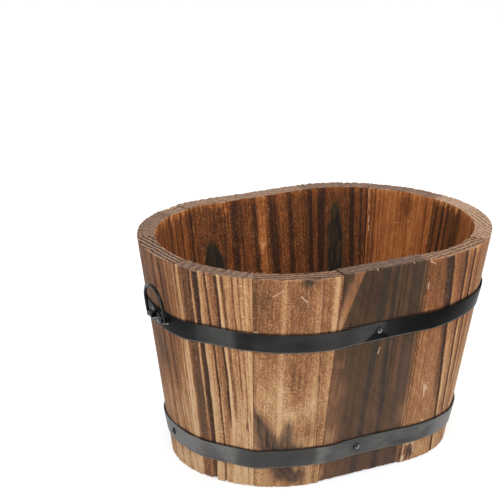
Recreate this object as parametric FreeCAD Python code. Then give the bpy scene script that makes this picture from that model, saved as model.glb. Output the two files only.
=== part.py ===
import FreeCAD, Part
import math
import os
from collections import namedtuple

# A flared oval planter of upright wooden staves, bound by two steel hoops.
# The plan is a racetrack: two straight sides joined by half-round ends.
# X runs along the tub, Y across it and Z up; the tub stands on Z = 0.

# Tub: the flare is how far the foot of the wall stands inside the rim, all round
rim_length = 406.0
rim_width = 298.0
tub_height = 250.0
flare = 40.0
stave_thickness = 19.5
stave_joint_gap = 0.3

# Stave widths along the rim, counter-clockwise from the first seam, which lies just past the
# middle of the right end. The staves share the whole rim in these proportions.
first_seam = 34.0
stave_widths = {
    "stave_right_back_corner": 97.0,
    "stave_back_right": 90.0,
    "stave_back_middle": 106.0,
    "stave_back_left": 60.0,
    "stave_back_filler": 32.0,
    "stave_left_back_corner": 93.0,
    "stave_left_end": 101.0,
    "stave_left_front_corner": 92.2,
    "stave_front_left": 96.8,
    "stave_front_middle": 106.0,
    "stave_front_right": 101.0,
    "stave_right_front_corner": 114.0,
    "stave_right_end": 62.0,
}

# Hoops: flat strips lying on the staves, with their ends lapped at the back
hoop_width = 21.0
hoop_thickness = 1.2
upper_hoop_top = 186.2
lower_hoop_top = 46.8
hoop_seat = 0.05
hoop_lap = 40.0
hoop_jog = 6.0
hoop_lap_play = 0.1
hoop_end_gap = 0.5

# Screws: pan heads with a cross recess
screw_radius = 2.0
screw_tip = 5.0
screw_head_radius = 3.9
screw_head_height = 2.4
screw_head_edge = 1.0
screw_crown_radius = 2.4
recess_length = 4.0
recess_width = 1.0
recess_depth = 1.3
pilot_play = 0.03
clearance_play = 0.3
stave_bite = 15.0
floor_bite = 13.0
upper_screw_x = -9.6
lower_screw_x = -16.6
screw_rise = 1.2
end_screw_offset = 14.0

# Floor: boards along X with bevelled edges that wedge between the staves
floor_thickness = 18.0
floor_board_width = 62.0
floor_play = 0.3
drain_gap = 3.0

# Handles: a bent wire bail hinged in two rolled knuckles of a plate on the upper hoop
handle_drop = 6.7
hinge_standoff = 5.0
wire_radius = 2.0
bail_height = 36.0
bail_bend_radius = 3.0
bail_tilt = 10.0
foot_length = 8.0
pin_play = 0.08
foot_play = 0.5
plate_length = 34.0
plate_width = 12.0
plate_thickness = 1.5
plate_seat = 0.05
knuckle_span = 31.0
knuckle_length = 9.5
knuckle_wall = 1.5

# Values that follow from the sizes above
end_radius = rim_width / 2
half_straight = (rim_length - rim_width) / 2
quarter_turn = math.pi * end_radius / 2
rim_perimeter = 4 * (quarter_turn + half_straight)
half_way_round = rim_perimeter / 2
left_end = rim_perimeter / 2
front_middle = rim_perimeter * 3 / 4
slant = math.atan2(flare, tub_height)
level_thickness = stave_thickness / math.cos(slant)
hoop_rise = hoop_width * math.cos(slant)
upper_hoop_middle = upper_hoop_top - hoop_rise / 2
lower_hoop_middle = lower_hoop_top - hoop_rise / 2
upper_screw_level = upper_hoop_middle + screw_rise
lower_screw_level = lower_hoop_middle + screw_rise
hoop_face = hoop_seat + hoop_thickness
lap_face = hoop_face + hoop_lap_play + hoop_thickness
hoop_screw_length = hoop_face + stave_bite
floor_screw_length = hoop_face + stave_thickness + floor_play + floor_bite
plate_back = hoop_face + plate_seat
plate_face = plate_back + plate_thickness
plate_middle = upper_hoop_top - handle_drop
plate_screw_length = plate_face + stave_bite
hole_radius = wire_radius + pin_play
knuckle_radius = hole_radius + knuckle_wall
bail_half_width = knuckle_span / 2 + foot_play + bail_bend_radius
floor_middle = lower_hoop_middle + stave_thickness * math.sin(slant)
floor_bottom = floor_middle - floor_thickness / 2
floor_top = floor_middle + floor_thickness / 2

origin = FreeCAD.Vector(0, 0, 0)
up = FreeCAD.Vector(0, 0, 1)
across = FreeCAD.Vector(0, 1, 0)

# One stretch of the rim line: where it starts, its length, its arc's centre or first foot point
# on the X axis, and the angle of the outward direction at its start
Stretch = namedtuple("Stretch", "start length foot angle curved")
right_centre = FreeCAD.Vector(half_straight, 0, 0)
left_centre = FreeCAD.Vector(-half_straight, 0, 0)
back_start = quarter_turn
left_start = back_start + 2 * half_straight
front_start = left_start + 2 * quarter_turn
rim_stretches = [
    Stretch(-quarter_turn, 2 * quarter_turn, right_centre, -90, True),
    Stretch(back_start, 2 * half_straight, right_centre, 90, False),
    Stretch(left_start, 2 * quarter_turn, left_centre, 90, True),
    Stretch(front_start, 2 * half_straight, left_centre, 270, False),
]


def direction(angle):
    return FreeCAD.Vector(math.cos(math.radians(angle)), math.sin(math.radians(angle)), 0)


def closed_face(points):
    return Part.Face(Part.makePolygon(points + points[:1]))


def rim_spot(stretch, along):
    # The foot point and the outward angle at a distance along one stretch
    if stretch.curved:
        return stretch.foot, stretch.angle + math.degrees(along / end_radius)
    return stretch.foot + direction(stretch.angle + 90) * along, stretch.angle


def wall_point(depth, z):
    # A point of the wall's section, as its offset from the rim line and its height: it stands
    # out of the outer face by the depth, measured square to that face, from height z on it
    offset = -flare * (tub_height - z) / tub_height
    return offset + depth * math.cos(slant), z - depth * math.sin(slant)


def wall_strip(inner, outer, low, high):
    return [wall_point(inner, low), wall_point(outer, low), wall_point(outer, high), wall_point(inner, high)]


def run_along_rim(section, start, end):
    # A section carried round the tub between two places, both measured along the rim line
    pieces = []
    for turn in (-1, 0, 1, 2):
        for stretch in rim_stretches:
            first = stretch.start + turn * rim_perimeter
            low = max(start, first)
            high = min(end, first + stretch.length)
            if high - low < 1e-6:
                continue
            foot, angle = rim_spot(stretch, low - first)
            face = closed_face([FreeCAD.Vector(end_radius + offset, 0, z) for offset, z in section])
            face.rotate(origin, up, angle)
            face.translate(foot)
            if stretch.curved:
                pieces.append(face.revolve(foot, up, math.degrees((high - low) / end_radius)))
            else:
                pieces.append(face.extrude(direction(angle + 90) * (high - low)))
    if len(pieces) == 1:
        return pieces[0]
    return pieces[0].fuse(pieces[1:]).removeSplitter()


def wall_frame(place, z):
    # The point of the outer face at a place along the rim, and the direction out of it
    for stretch in rim_stretches:
        along = (place - stretch.start) % rim_perimeter
        if along < stretch.length:
            break
    foot, angle = rim_spot(stretch, along)
    offset, height = wall_point(0, z)
    point = foot + direction(angle) * (end_radius + offset) + up * height
    return point, direction(angle) * math.cos(slant) - up * math.sin(slant)


def stand_on_wall(shape, place, z, depth):
    # Moves a shape made along +Z to stand out of the wall at a place along the rim
    point, outward = wall_frame(place, z)
    shape.Placement = FreeCAD.Placement(point + outward * depth, FreeCAD.Rotation(up, outward))
    return shape


def make_screw(length):
    # The head stands up from Z = 0 and the shank points down
    profile = [
        (0, -length), (screw_radius, screw_tip - length), (screw_radius, 0), (screw_head_radius, 0),
        (screw_head_radius, screw_head_edge), (screw_crown_radius, screw_head_height), (0, screw_head_height),
    ]
    screw = closed_face([FreeCAD.Vector(radius, 0, z) for radius, z in profile]).revolve(origin, up, 360)
    for size_x, size_y in ((recess_length, recess_width), (recess_width, recess_length)):
        corner = FreeCAD.Vector(-size_x / 2, -size_y / 2, screw_head_height - recess_depth)
        screw = screw.cut(Part.makeBox(size_x, size_y, screw_head_height, corner))
    return screw


def make_screw_hole(length, play):
    # The space that a screw takes below its head, from outside the wall to its point
    radius = screw_radius + play
    shank_length = length - screw_tip
    shank = Part.makeCylinder(radius, shank_length + screw_head_height, up * -shank_length)
    return shank.fuse(Part.makeCone(0, radius, screw_tip, up * -length))


class Fastening:
    # A screw at one place on the wall, whose head bears on a face at the given depth
    def __init__(self, place, z, depth, length):
        self.where = (place, z, depth)
        self.length = length

    def screw(self):
        return stand_on_wall(make_screw(self.length), *self.where)

    def pilot(self):
        return stand_on_wall(make_screw_hole(self.length, pilot_play), *self.where)

    def clearance(self):
        return stand_on_wall(make_screw_hole(self.length, clearance_play), *self.where)


def drill(solid, holes):
    # Takes from a solid the holes that reach it
    for hole in holes:
        if hole.common(solid).Volume > 1e-6:
            solid = solid.cut(hole)
    return solid.Solids[0]


def make_staves(holes):
    section = [
        (-flare, 0), (0, tub_height), (-level_thickness, tub_height), (-flare - level_thickness, 0),
    ]
    share = rim_perimeter / sum(stave_widths.values())
    seam = first_seam
    staves = {}
    for name, width in stave_widths.items():
        next_seam = seam + width * share
        stave = run_along_rim(section, seam + stave_joint_gap / 2, next_seam - stave_joint_gap / 2)
        staves[name] = drill(stave, holes)
        seam = next_seam
    return staves


def make_hoop(top, lap_middle, holes):
    # One strip round the tub, whose last stretch steps out and laps over its first
    low = top - hoop_rise
    start = lap_middle - hoop_lap / 2
    end = start + rim_perimeter - hoop_end_gap
    strip = run_along_rim(wall_strip(hoop_seat, hoop_face, low, top), start, end - hoop_jog)
    jog = run_along_rim(wall_strip(hoop_seat, lap_face, low, top), end - hoop_jog, end)
    lap_section = wall_strip(hoop_face + hoop_lap_play, lap_face, low, top)
    lap = run_along_rim(lap_section, end, end + hoop_end_gap + hoop_lap)
    return drill(strip.fuse([jog, lap]).removeSplitter(), holes)


def floor_radius(z):
    return end_radius - flare * (tub_height - z) / tub_height - level_thickness - floor_play / math.cos(slant)


def make_floor(holes):
    # Boards cut from one bevelled oval that fits inside the staves
    low_radius = floor_radius(floor_bottom)
    high_radius = floor_radius(floor_top)
    section = [
        (-low_radius, floor_bottom), (low_radius, floor_bottom),
        (high_radius, floor_top), (-high_radius, floor_top),
    ]
    middle_part = closed_face([FreeCAD.Vector(-half_straight, y, z) for y, z in section])
    oval = middle_part.extrude(FreeCAD.Vector(2 * half_straight, 0, 0))
    for centre in (left_centre, right_centre):
        end_part = Part.makeCone(low_radius, high_radius, floor_thickness, centre + up * floor_bottom)
        oval = oval.fuse(end_part)
    oval = oval.removeSplitter()
    edge = floor_board_width / 2
    bands = {
        "floor_board_front": (-rim_width, -edge - drain_gap),
        "floor_board_middle": (-edge, edge),
        "floor_board_back": (edge + drain_gap, rim_width),
    }
    boards = {}
    for name, (near, far) in bands.items():
        band = Part.makeBox(2 * rim_length, far - near, tub_height, FreeCAD.Vector(-rim_length, near, 0))
        boards[name] = drill(oval.common(band), holes)
    return boards


def hinge_point():
    # The left bail's hinge line runs along Y through this point
    point, outward = wall_frame(left_end, plate_middle)
    return point + outward * (hoop_face + hinge_standoff)


def make_handle_plate(screw_hole):
    # The left plate, curved to the hoop, with two knuckles that are rolled round the bail's feet
    rise = plate_width * math.cos(slant)
    low = plate_middle - rise / 2
    reach = plate_length / 2
    plate = run_along_rim(wall_strip(plate_back, plate_face, low, low + rise), left_end - reach, left_end + reach)
    behind = wall_strip(-stave_thickness, plate_back, 0, tub_height)
    wall_behind = run_along_rim(behind, left_end - plate_length, left_end + plate_length)
    hinge = hinge_point()
    for near in (-knuckle_span / 2, knuckle_span / 2 - knuckle_length):
        centre = FreeCAD.Vector(hinge.x, near, hinge.z)
        barrel = Part.makeCylinder(knuckle_radius, knuckle_length, centre, across)
        web = Part.makeBox(hinge_standoff, knuckle_length, knuckle_radius, centre - up * knuckle_radius)
        plate = plate.fuse(barrel.fuse(web).cut(wall_behind))
    hole_start = FreeCAD.Vector(hinge.x, -knuckle_span, hinge.z)
    pin_hole = Part.makeCylinder(hole_radius, 2 * knuckle_span, hole_start, across)
    return drill(plate.removeSplitter().cut(pin_hole), [screw_hole])


def make_bail():
    # The left bail, bent from one wire: turned-in feet, two legs and a half-round top
    half = bail_half_width
    bend = bail_bend_radius
    foot_end = knuckle_span / 2 - foot_length
    shoulder = bail_height - half
    bulge = bend * (1 - math.sqrt(0.5))

    def spot(y, z):
        return FreeCAD.Vector(0, y, z)

    def bend_arc(side):
        return Part.Arc(spot(side * (half - bend), 0), spot(side * (half - bulge), bulge), spot(side * half, bend))

    route = [
        Part.LineSegment(spot(-foot_end, 0), spot(bend - half, 0)),
        bend_arc(-1),
        Part.LineSegment(spot(-half, bend), spot(-half, shoulder)),
        Part.Arc(spot(-half, shoulder), spot(0, bail_height), spot(half, shoulder)),
        Part.LineSegment(spot(half, shoulder), spot(half, bend)),
        bend_arc(1),
        Part.LineSegment(spot(half - bend, 0), spot(foot_end, 0)),
    ]
    path = Part.Wire([piece.toShape() for piece in route])
    ring = Part.Wire(Part.makeCircle(wire_radius, spot(-foot_end, 0), across))
    bail = path.makePipeShell([ring], True, True)
    bail.rotate(origin, across, -bail_tilt)
    bail.translate(hinge_point())
    return bail.Solids[0]


def turned_round(shape):
    # The same piece at the other end of the tub
    other = shape.copy()
    other.rotate(origin, up, 180)
    return other


def export(name, shape):
    shape.exportStep("parts/" + name + ".step")
    state = "valid" if shape.isValid() else "not valid"
    print(name, len(shape.Solids), "solid", round(shape.Volume), "mm3", state)


os.makedirs("parts", exist_ok=True)

upper_screw = front_middle + upper_screw_x
lower_screw = front_middle + lower_screw_x
upper_lap = upper_screw - half_way_round
lower_lap = lower_screw - half_way_round
left_screw = left_end - end_screw_offset
right_screw = left_screw + half_way_round

upper_fastenings = [
    Fastening(upper_screw, upper_screw_level, hoop_face, hoop_screw_length),
    Fastening(upper_lap, upper_screw_level, lap_face, hoop_screw_length),
]
lower_fastenings = [
    Fastening(lower_screw, lower_screw_level, hoop_face, floor_screw_length),
    Fastening(lower_lap, lower_screw_level, lap_face, floor_screw_length),
    Fastening(left_screw, lower_screw_level, hoop_face, floor_screw_length),
    Fastening(right_screw, lower_screw_level, hoop_face, floor_screw_length),
]
plate_fastenings = [
    Fastening(place, plate_middle, plate_face, plate_screw_length)
    for place in (left_end, left_end + half_way_round)
]

pilots = [fastening.pilot() for fastening in upper_fastenings + lower_fastenings + plate_fastenings]
for stave_name, stave in make_staves(pilots).items():
    export(stave_name, stave)
for board_name, floor_board in make_floor(pilots).items():
    export(board_name, floor_board)

upper_clearances = [fastening.clearance() for fastening in upper_fastenings + plate_fastenings]
lower_clearances = [fastening.clearance() for fastening in lower_fastenings]
export("upper_hoop", make_hoop(upper_hoop_top, upper_lap, upper_clearances))
export("lower_hoop", make_hoop(lower_hoop_top, lower_lap, lower_clearances))

export("upper_hoop_screws", Part.makeCompound([fastening.screw() for fastening in upper_fastenings]))
export("lower_hoop_screws", Part.makeCompound([fastening.screw() for fastening in lower_fastenings]))
export("handle_screws", Part.makeCompound([fastening.screw() for fastening in plate_fastenings]))

left_plate = make_handle_plate(plate_fastenings[0].clearance())
left_bail = make_bail()
export("left_handle_plate", left_plate)
export("right_handle_plate", turned_round(left_plate))
export("left_bail", left_bail)
export("right_bail", turned_round(left_bail))
print("left hinge at", [round(value, 3) for value in hinge_point()])
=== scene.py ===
import math

import bmesh
import bpy
import numpy as np
from mathutils import Matrix, Vector


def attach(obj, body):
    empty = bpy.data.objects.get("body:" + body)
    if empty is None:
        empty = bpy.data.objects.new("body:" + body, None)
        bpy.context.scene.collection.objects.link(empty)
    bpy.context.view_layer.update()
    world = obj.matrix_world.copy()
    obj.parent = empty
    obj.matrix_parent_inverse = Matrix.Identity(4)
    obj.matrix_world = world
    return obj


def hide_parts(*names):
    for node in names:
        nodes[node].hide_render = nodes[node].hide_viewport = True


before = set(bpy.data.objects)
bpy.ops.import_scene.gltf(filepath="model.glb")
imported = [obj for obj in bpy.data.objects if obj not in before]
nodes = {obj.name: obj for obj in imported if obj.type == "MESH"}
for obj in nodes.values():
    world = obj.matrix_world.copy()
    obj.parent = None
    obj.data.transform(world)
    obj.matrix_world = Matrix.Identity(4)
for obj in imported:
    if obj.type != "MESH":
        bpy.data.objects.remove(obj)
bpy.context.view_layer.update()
mm = 0.001  # the sizes below are in millimetres, the meshes in metres

# The tub: a racetrack in plan, with a wall that leans out towards the rim
tub = {
    "endRadius": 149.0,
    "halfStraight": 54.0,
    "height": 250.0,
    "flare": 40.0,
    "staveThickness": 19.5,
    "firstSeam": 34.0,
    "seamGap": 0.3,
}
slant = math.atan2(tub["flare"], tub["height"])
levelThickness = tub["staveThickness"] / math.cos(slant)
quarterTurn = math.pi * tub["endRadius"] / 2
rimPerimeter = 4 * (quarterTurn + tub["halfStraight"])
leftEnd = rimPerimeter / 2
frontMiddle = rimPerimeter * 3 / 4

# The hoops. Lift and wear are given at places round the rim: how far the strip hangs off its
# level, and how grey the strip looks, from 0 to 1, which is rubbed paint together with painted sheen.
# Above each strip the wood gets a painted shadow, as dark and as wide as set here.
hoop = {
    "width": 21.0, "thickness": 1.2, "seat": 0.05, "edge": 0.35, "lap": 40.0, "jog": 6.0, "lapPlay": 0.1,
    "endGap": 0.5, "pathStep": 3.0, "bulge": 0.4, "gape": 3.0, "screwRise": 1.2, "fanReach": 10.0,
    "endScrew": 14.0, "plateHold": 26.0, "screwHold": 5.0, "lapHold": 30.0, "slackRun": 30.0,
}
hoopRise = hoop["width"] * math.cos(slant)
hoopLines = {
    "upper_hoop": {
        "top": 186.2, "screwX": -9.6, "gapShadow": 0.75, "gapShadowReach": 1.2,
        "lift": [
            (0, 0), (250, 0), (345, 0), (555, 0), (576, -0.3), (600, -1.1), (615, -1.3), (632, 0.2),
            (655, 1.7), (670, 1.5), (695, 0.3), (735, -1.0), (780, -1.8), (802, -2.0), (825, -1.0),
            (850, -0.7), (890, -0.2), (925, -0.3), (950, 1.2), (980, 2.2), (1005, 1.6), (1060, 0.8),
            (1120, 0),
        ],
        "wearAndSheen": [
            (0, 0.4), (200, 0.6), (400, 0.45), (600, 0.25), (617, 0.25), (630, 0.45), (645, 0.62),
            (660, 0.74), (680, 0.78), (690, 0.5), (700, 0.46), (712, 0.52), (764, 0.57), (800, 0.66),
            (818, 0.62), (836, 0.7), (856, 0.66), (870, 0.42), (888, 0.15), (930, 0.05), (975, 0.0),
            (1000, 0.3), (1060, 0.55),
        ],
    },
    "lower_hoop": {
        "top": 46.8, "screwX": -16.6, "gapShadow": 1.0, "gapShadowReach": 1.5,
        "lift": [
            (0, 0), (250, 0), (345, 0), (560, 0.3), (590, 0.6), (610, 0), (632, -0.5), (655, 0),
            (675, -0.2), (709, -2.1), (735, -0.2), (760, 0.3), (785, 0), (812, -1.3), (840, -0.2),
            (865, 0.4), (890, 0), (915, -1.0), (950, -1.0), (980, -1.8), (1010, -3.6), (1050, -2.0),
            (1120, 0),
        ],
        "wearAndSheen": [
            (0, 0.8), (200, 0.6), (400, 0.8), (560, 1.0), (600, 1.12), (620, 0.98), (640, 0.93),
            (674, 0.97), (690, 0.88), (710, 0.78), (746, 0.76), (782, 0.84), (800, 0.94), (820, 0.89),
            (872, 0.88), (908, 0.87), (944, 0.92), (980, 1.0), (1000, 1.15), (1080, 0.9),
        ],
    },
}


def rimSpot(place):
    # plan point and outward direction at distances along the rim, from the middle of the right end
    run = np.mod(np.asarray(place, float) + quarterTurn, rimPerimeter)
    side = 2 * tub["halfStraight"]
    lap = 2 * quarterTurn + side
    far = run >= lap  # the second half is the first turned half way round
    run = np.where(far, run - lap, run)
    angle = np.clip(run - quarterTurn, -quarterTurn, quarterTurn) / tub["endRadius"]
    outX = np.cos(angle)
    outY = np.sin(angle)
    x = tub["halfStraight"] + tub["endRadius"] * outX - np.maximum(run - 2 * quarterTurn, 0)
    y = tub["endRadius"] * outY
    turn = np.where(far, -1.0, 1.0)
    return x * turn, y * turn, outX * turn, outY * turn


def rimPlace(x, y):
    # the distance along the rim that belongs to a plan point
    side = tub["halfStraight"]
    straight = np.clip(x, -side, side)
    angle = np.mod(np.arctan2(y, x - straight), math.tau)
    return angle * tub["endRadius"] + np.where(y >= 0, side - straight, 3 * side + straight)


def wallSpot(place, inward, up):
    # a point of the wall: how far it lies inside the outer face is measured level
    x, y, outX, outY = rimSpot(place)
    offset = -tub["flare"] * (tub["height"] - up) / tub["height"] - inward
    return np.stack([x + outX * offset, y + outY * offset, up + 0 * x], -1)


def smooth(value):
    value = np.clip(value, 0, 1)
    return value * value * (3 - 2 * value)


def handSet(points, places):
    # a value given at some places round the rim, eased from each to the next
    spots = np.array([spot for spot, value in points] + [points[0][0] + rimPerimeter])
    values = np.array([value for spot, value in points] + [points[0][1]])
    run = np.mod(places - spots[0], rimPerimeter) + spots[0]
    after = np.clip(np.searchsorted(spots, run, side="right"), 1, len(points))
    share = smooth((run - spots[after - 1]) / (spots[after] - spots[after - 1]))
    return values[after - 1] * (1 - share) + values[after] * share


# a noise repeats after this many steps, and a sheet of it after this many cells
noiseSteps = 997
noiseCells = 127


def noiseLine(along, size, seed):
    table = np.random.default_rng(seed).uniform(-1, 1, noiseSteps)
    step = np.asarray(along, float) / size
    low = np.floor(step).astype(int)
    share = smooth(step - low)
    return table[low % noiseSteps] * (1 - share) + table[(low + 1) % noiseSteps] * share


def noiseSheet(across, up, sizeAcross, sizeUp, seed):
    table = np.random.default_rng(seed).uniform(-1, 1, (noiseCells, noiseCells))
    stepA = across / sizeAcross
    stepU = up / sizeUp
    lowA = np.floor(stepA).astype(int)
    lowU = np.floor(stepU).astype(int)
    shareA = smooth(stepA - lowA)
    shareU = smooth(stepU - lowU)
    nextA = (lowA + 1) % noiseCells
    nextU = (lowU + 1) % noiseCells
    lowA = lowA % noiseCells
    lowU = lowU % noiseCells
    lower = table[lowA, lowU] * (1 - shareA) + table[nextA, lowU] * shareA
    upper = table[lowA, nextU] * (1 - shareA) + table[nextA, nextU] * shareA
    return lower * (1 - shareU) + upper * shareU


# Node and mesh helpers
def addNode(tree, kind, values=None, **settings):
    made = tree.nodes.new(kind)
    for name, value in settings.items():
        setattr(made, name, value)
    for socket, value in (values or {}).items():
        made.inputs[socket].default_value = value
    return made


def calc(tree, kind, first, second, clamp=False):
    made = addNode(tree, "ShaderNodeMath", operation=kind, use_clamp=clamp)
    for socket, value in zip(made.inputs, (first, second)):
        if isinstance(value, (int, float)):
            socket.default_value = value
        else:
            tree.links.new(value, socket)
    return made.outputs[0]


def times(tree, first, second, clamp=False):
    return calc(tree, "MULTIPLY", first, second, clamp)


def plus(tree, first, second, clamp=False):
    return calc(tree, "ADD", first, second, clamp)


def minus(tree, first, second, clamp=False):
    return calc(tree, "SUBTRACT", first, second, clamp)


def ramp(tree, factor, stops):
    made = addNode(tree, "ShaderNodeValToRGB")
    points = made.color_ramp.elements
    while len(points) < len(stops):
        points.new(0.5)
    for point, (place, colour) in zip(points, stops):
        point.position = place
        point.color = colour
    tree.links.new(factor, made.inputs[0])
    return made.outputs[0]


def mixColour(tree, factor, first, second, blend="MIX"):
    made = addNode(tree, "ShaderNodeMix", data_type="RGBA", blend_type=blend)
    for socket, value in zip((made.inputs[0], made.inputs[6], made.inputs[7]), (factor, first, second)):
        if isinstance(value, (int, float, tuple)):
            socket.default_value = value
        else:
            tree.links.new(value, socket)
    return made.outputs[2]


def paint(red, green, blue):
    # an sRGB colour in 0..255 as the linear colour that a node takes
    shares = [value / 255 for value in (red, green, blue)]
    linear = [((share + 0.055) / 1.055) ** 2.4 if share > 0.04 else share / 12.92 for share in shares]
    return (*linear, 1.0)


def grey(value):
    return (value, value, value, 1.0)


def newMaterial(name):
    material = bpy.data.materials.new(name)
    material.use_nodes = True
    tree = material.node_tree
    shader = tree.nodes["Principled BSDF"]
    return material, tree, shader


def stretchedNoise(tree, source, scale, detail=3.0, roughness=0.55, distortion=0.0):
    stretch = addNode(tree, "ShaderNodeVectorMath", {1: scale}, operation="MULTIPLY")
    tree.links.new(source, stretch.inputs[0])
    values = {"Scale": 1.0, "Detail": detail, "Roughness": roughness, "Distortion": distortion}
    noise = addNode(tree, "ShaderNodeTexNoise", values)
    tree.links.new(stretch.outputs[0], noise.inputs["Vector"])
    return noise.outputs["Fac"]


def spread(tree, noise, amount):
    # a noise of 0..1 turned into a change to both sides
    return times(tree, minus(tree, noise, 0.5), amount)


def above(tree, value, start, gain):
    # 0 up to a start, then rising to 1
    return times(tree, minus(tree, value, start, True), gain, True)


def scaled(tree, value, gain, base):
    return plus(tree, times(tree, value, gain), base)


def near(tree, value, middle, reach):
    # 1 within reach of a middle value, 0 elsewhere
    made = addNode(tree, "ShaderNodeMath", {1: middle, 2: reach}, operation="COMPARE")
    tree.links.new(value, made.inputs[0])
    return made.outputs[0]


def readAttribute(tree, name, output="Vector"):
    return addNode(tree, "ShaderNodeAttribute", attribute_name=name).outputs[output]


def vectorParts(tree, vector):
    split = addNode(tree, "ShaderNodeSeparateXYZ")
    tree.links.new(vector, split.inputs[0])
    return split.outputs


def dotWith(tree, vector, direction):
    made = addNode(tree, "ShaderNodeVectorMath", {1: direction}, operation="DOT_PRODUCT")
    tree.links.new(vector, made.inputs[0])
    return made.outputs["Value"]


def bumpFrom(tree, shader, height, strength, distance):
    bump = addNode(tree, "ShaderNodeBump", {"Strength": strength, "Distance": distance})
    tree.links.new(height, bump.inputs["Height"])
    tree.links.new(bump.outputs[0], shader.inputs["Normal"])


def linkObject(name, data):
    made = bpy.data.objects.new(name, data)
    bpy.context.scene.collection.objects.link(made)
    return made


def showMesh(name, mesh, material):
    mesh.materials.clear()
    mesh.materials.append(material)
    return linkObject(name, mesh)


def writeAttribute(mesh, name, values):
    # one number or one vector for each point
    values = np.asarray(values, np.float32)
    kind, field = ("FLOAT", "value") if values.ndim == 1 else ("FLOAT_VECTOR", "vector")
    mesh.attributes.new(name, kind, "POINT").data.foreach_set(field, values.ravel())


def finishedMesh(piece, modifier, name):
    # what a modifier makes of a piece, as a plain mesh
    finished = bpy.data.meshes.new_from_object(piece.evaluated_get(bpy.context.evaluated_depsgraph_get()))
    piece.modifiers.remove(modifier)
    finished.name = name
    return finished


# Scorched wood: the mesh carries the figure of each board, the nodes add its fibre and surface
wood = {
    # how much each shifts the tone
    "fibre": 0.7, "hair": 0.45, "blotch": 0.22, "mottle": 0.3, "nap": 0.75, "ripple": 0.07,
    "rippleTurns": 2700.0, "rippleTilt": 0.12, "rippleSway": 0.006,
    "ringStart": 0.35, "ringRise": 2.0, "ringFall": 6.0, "endCalm": 0.8, "sootCalm": 0.5,
    "markReach": 6.0, "markPale": 0.8, "shine": 0.14, "bump": 0.8, "bumpDeep": 0.8,
}


def scratchMark(tree, lay, ragged, start, end, width, depth):
    # 1 along a torn line from start to end on one face of a board
    run = Vector((end[0] - start[0], 0, end[1] - start[1]))
    length = run.length
    run.normalize()
    offset = addNode(tree, "ShaderNodeVectorMath", {1: (start[0], 0, start[1])}, operation="SUBTRACT")
    tree.links.new(lay, offset.inputs[0])
    along = dotWith(tree, offset.outputs[0], run)
    beside = dotWith(tree, offset.outputs[0], (-run.z, 0, run.x))
    beside = plus(tree, beside, spread(tree, ragged, 2 * width))
    onLine = times(tree, near(tree, along, length / 2, length / 2), near(tree, beside, 0.0, width / 2))
    return times(tree, onLine, near(tree, vectorParts(tree, lay)[1], depth, wood["markReach"] * mm))


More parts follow.
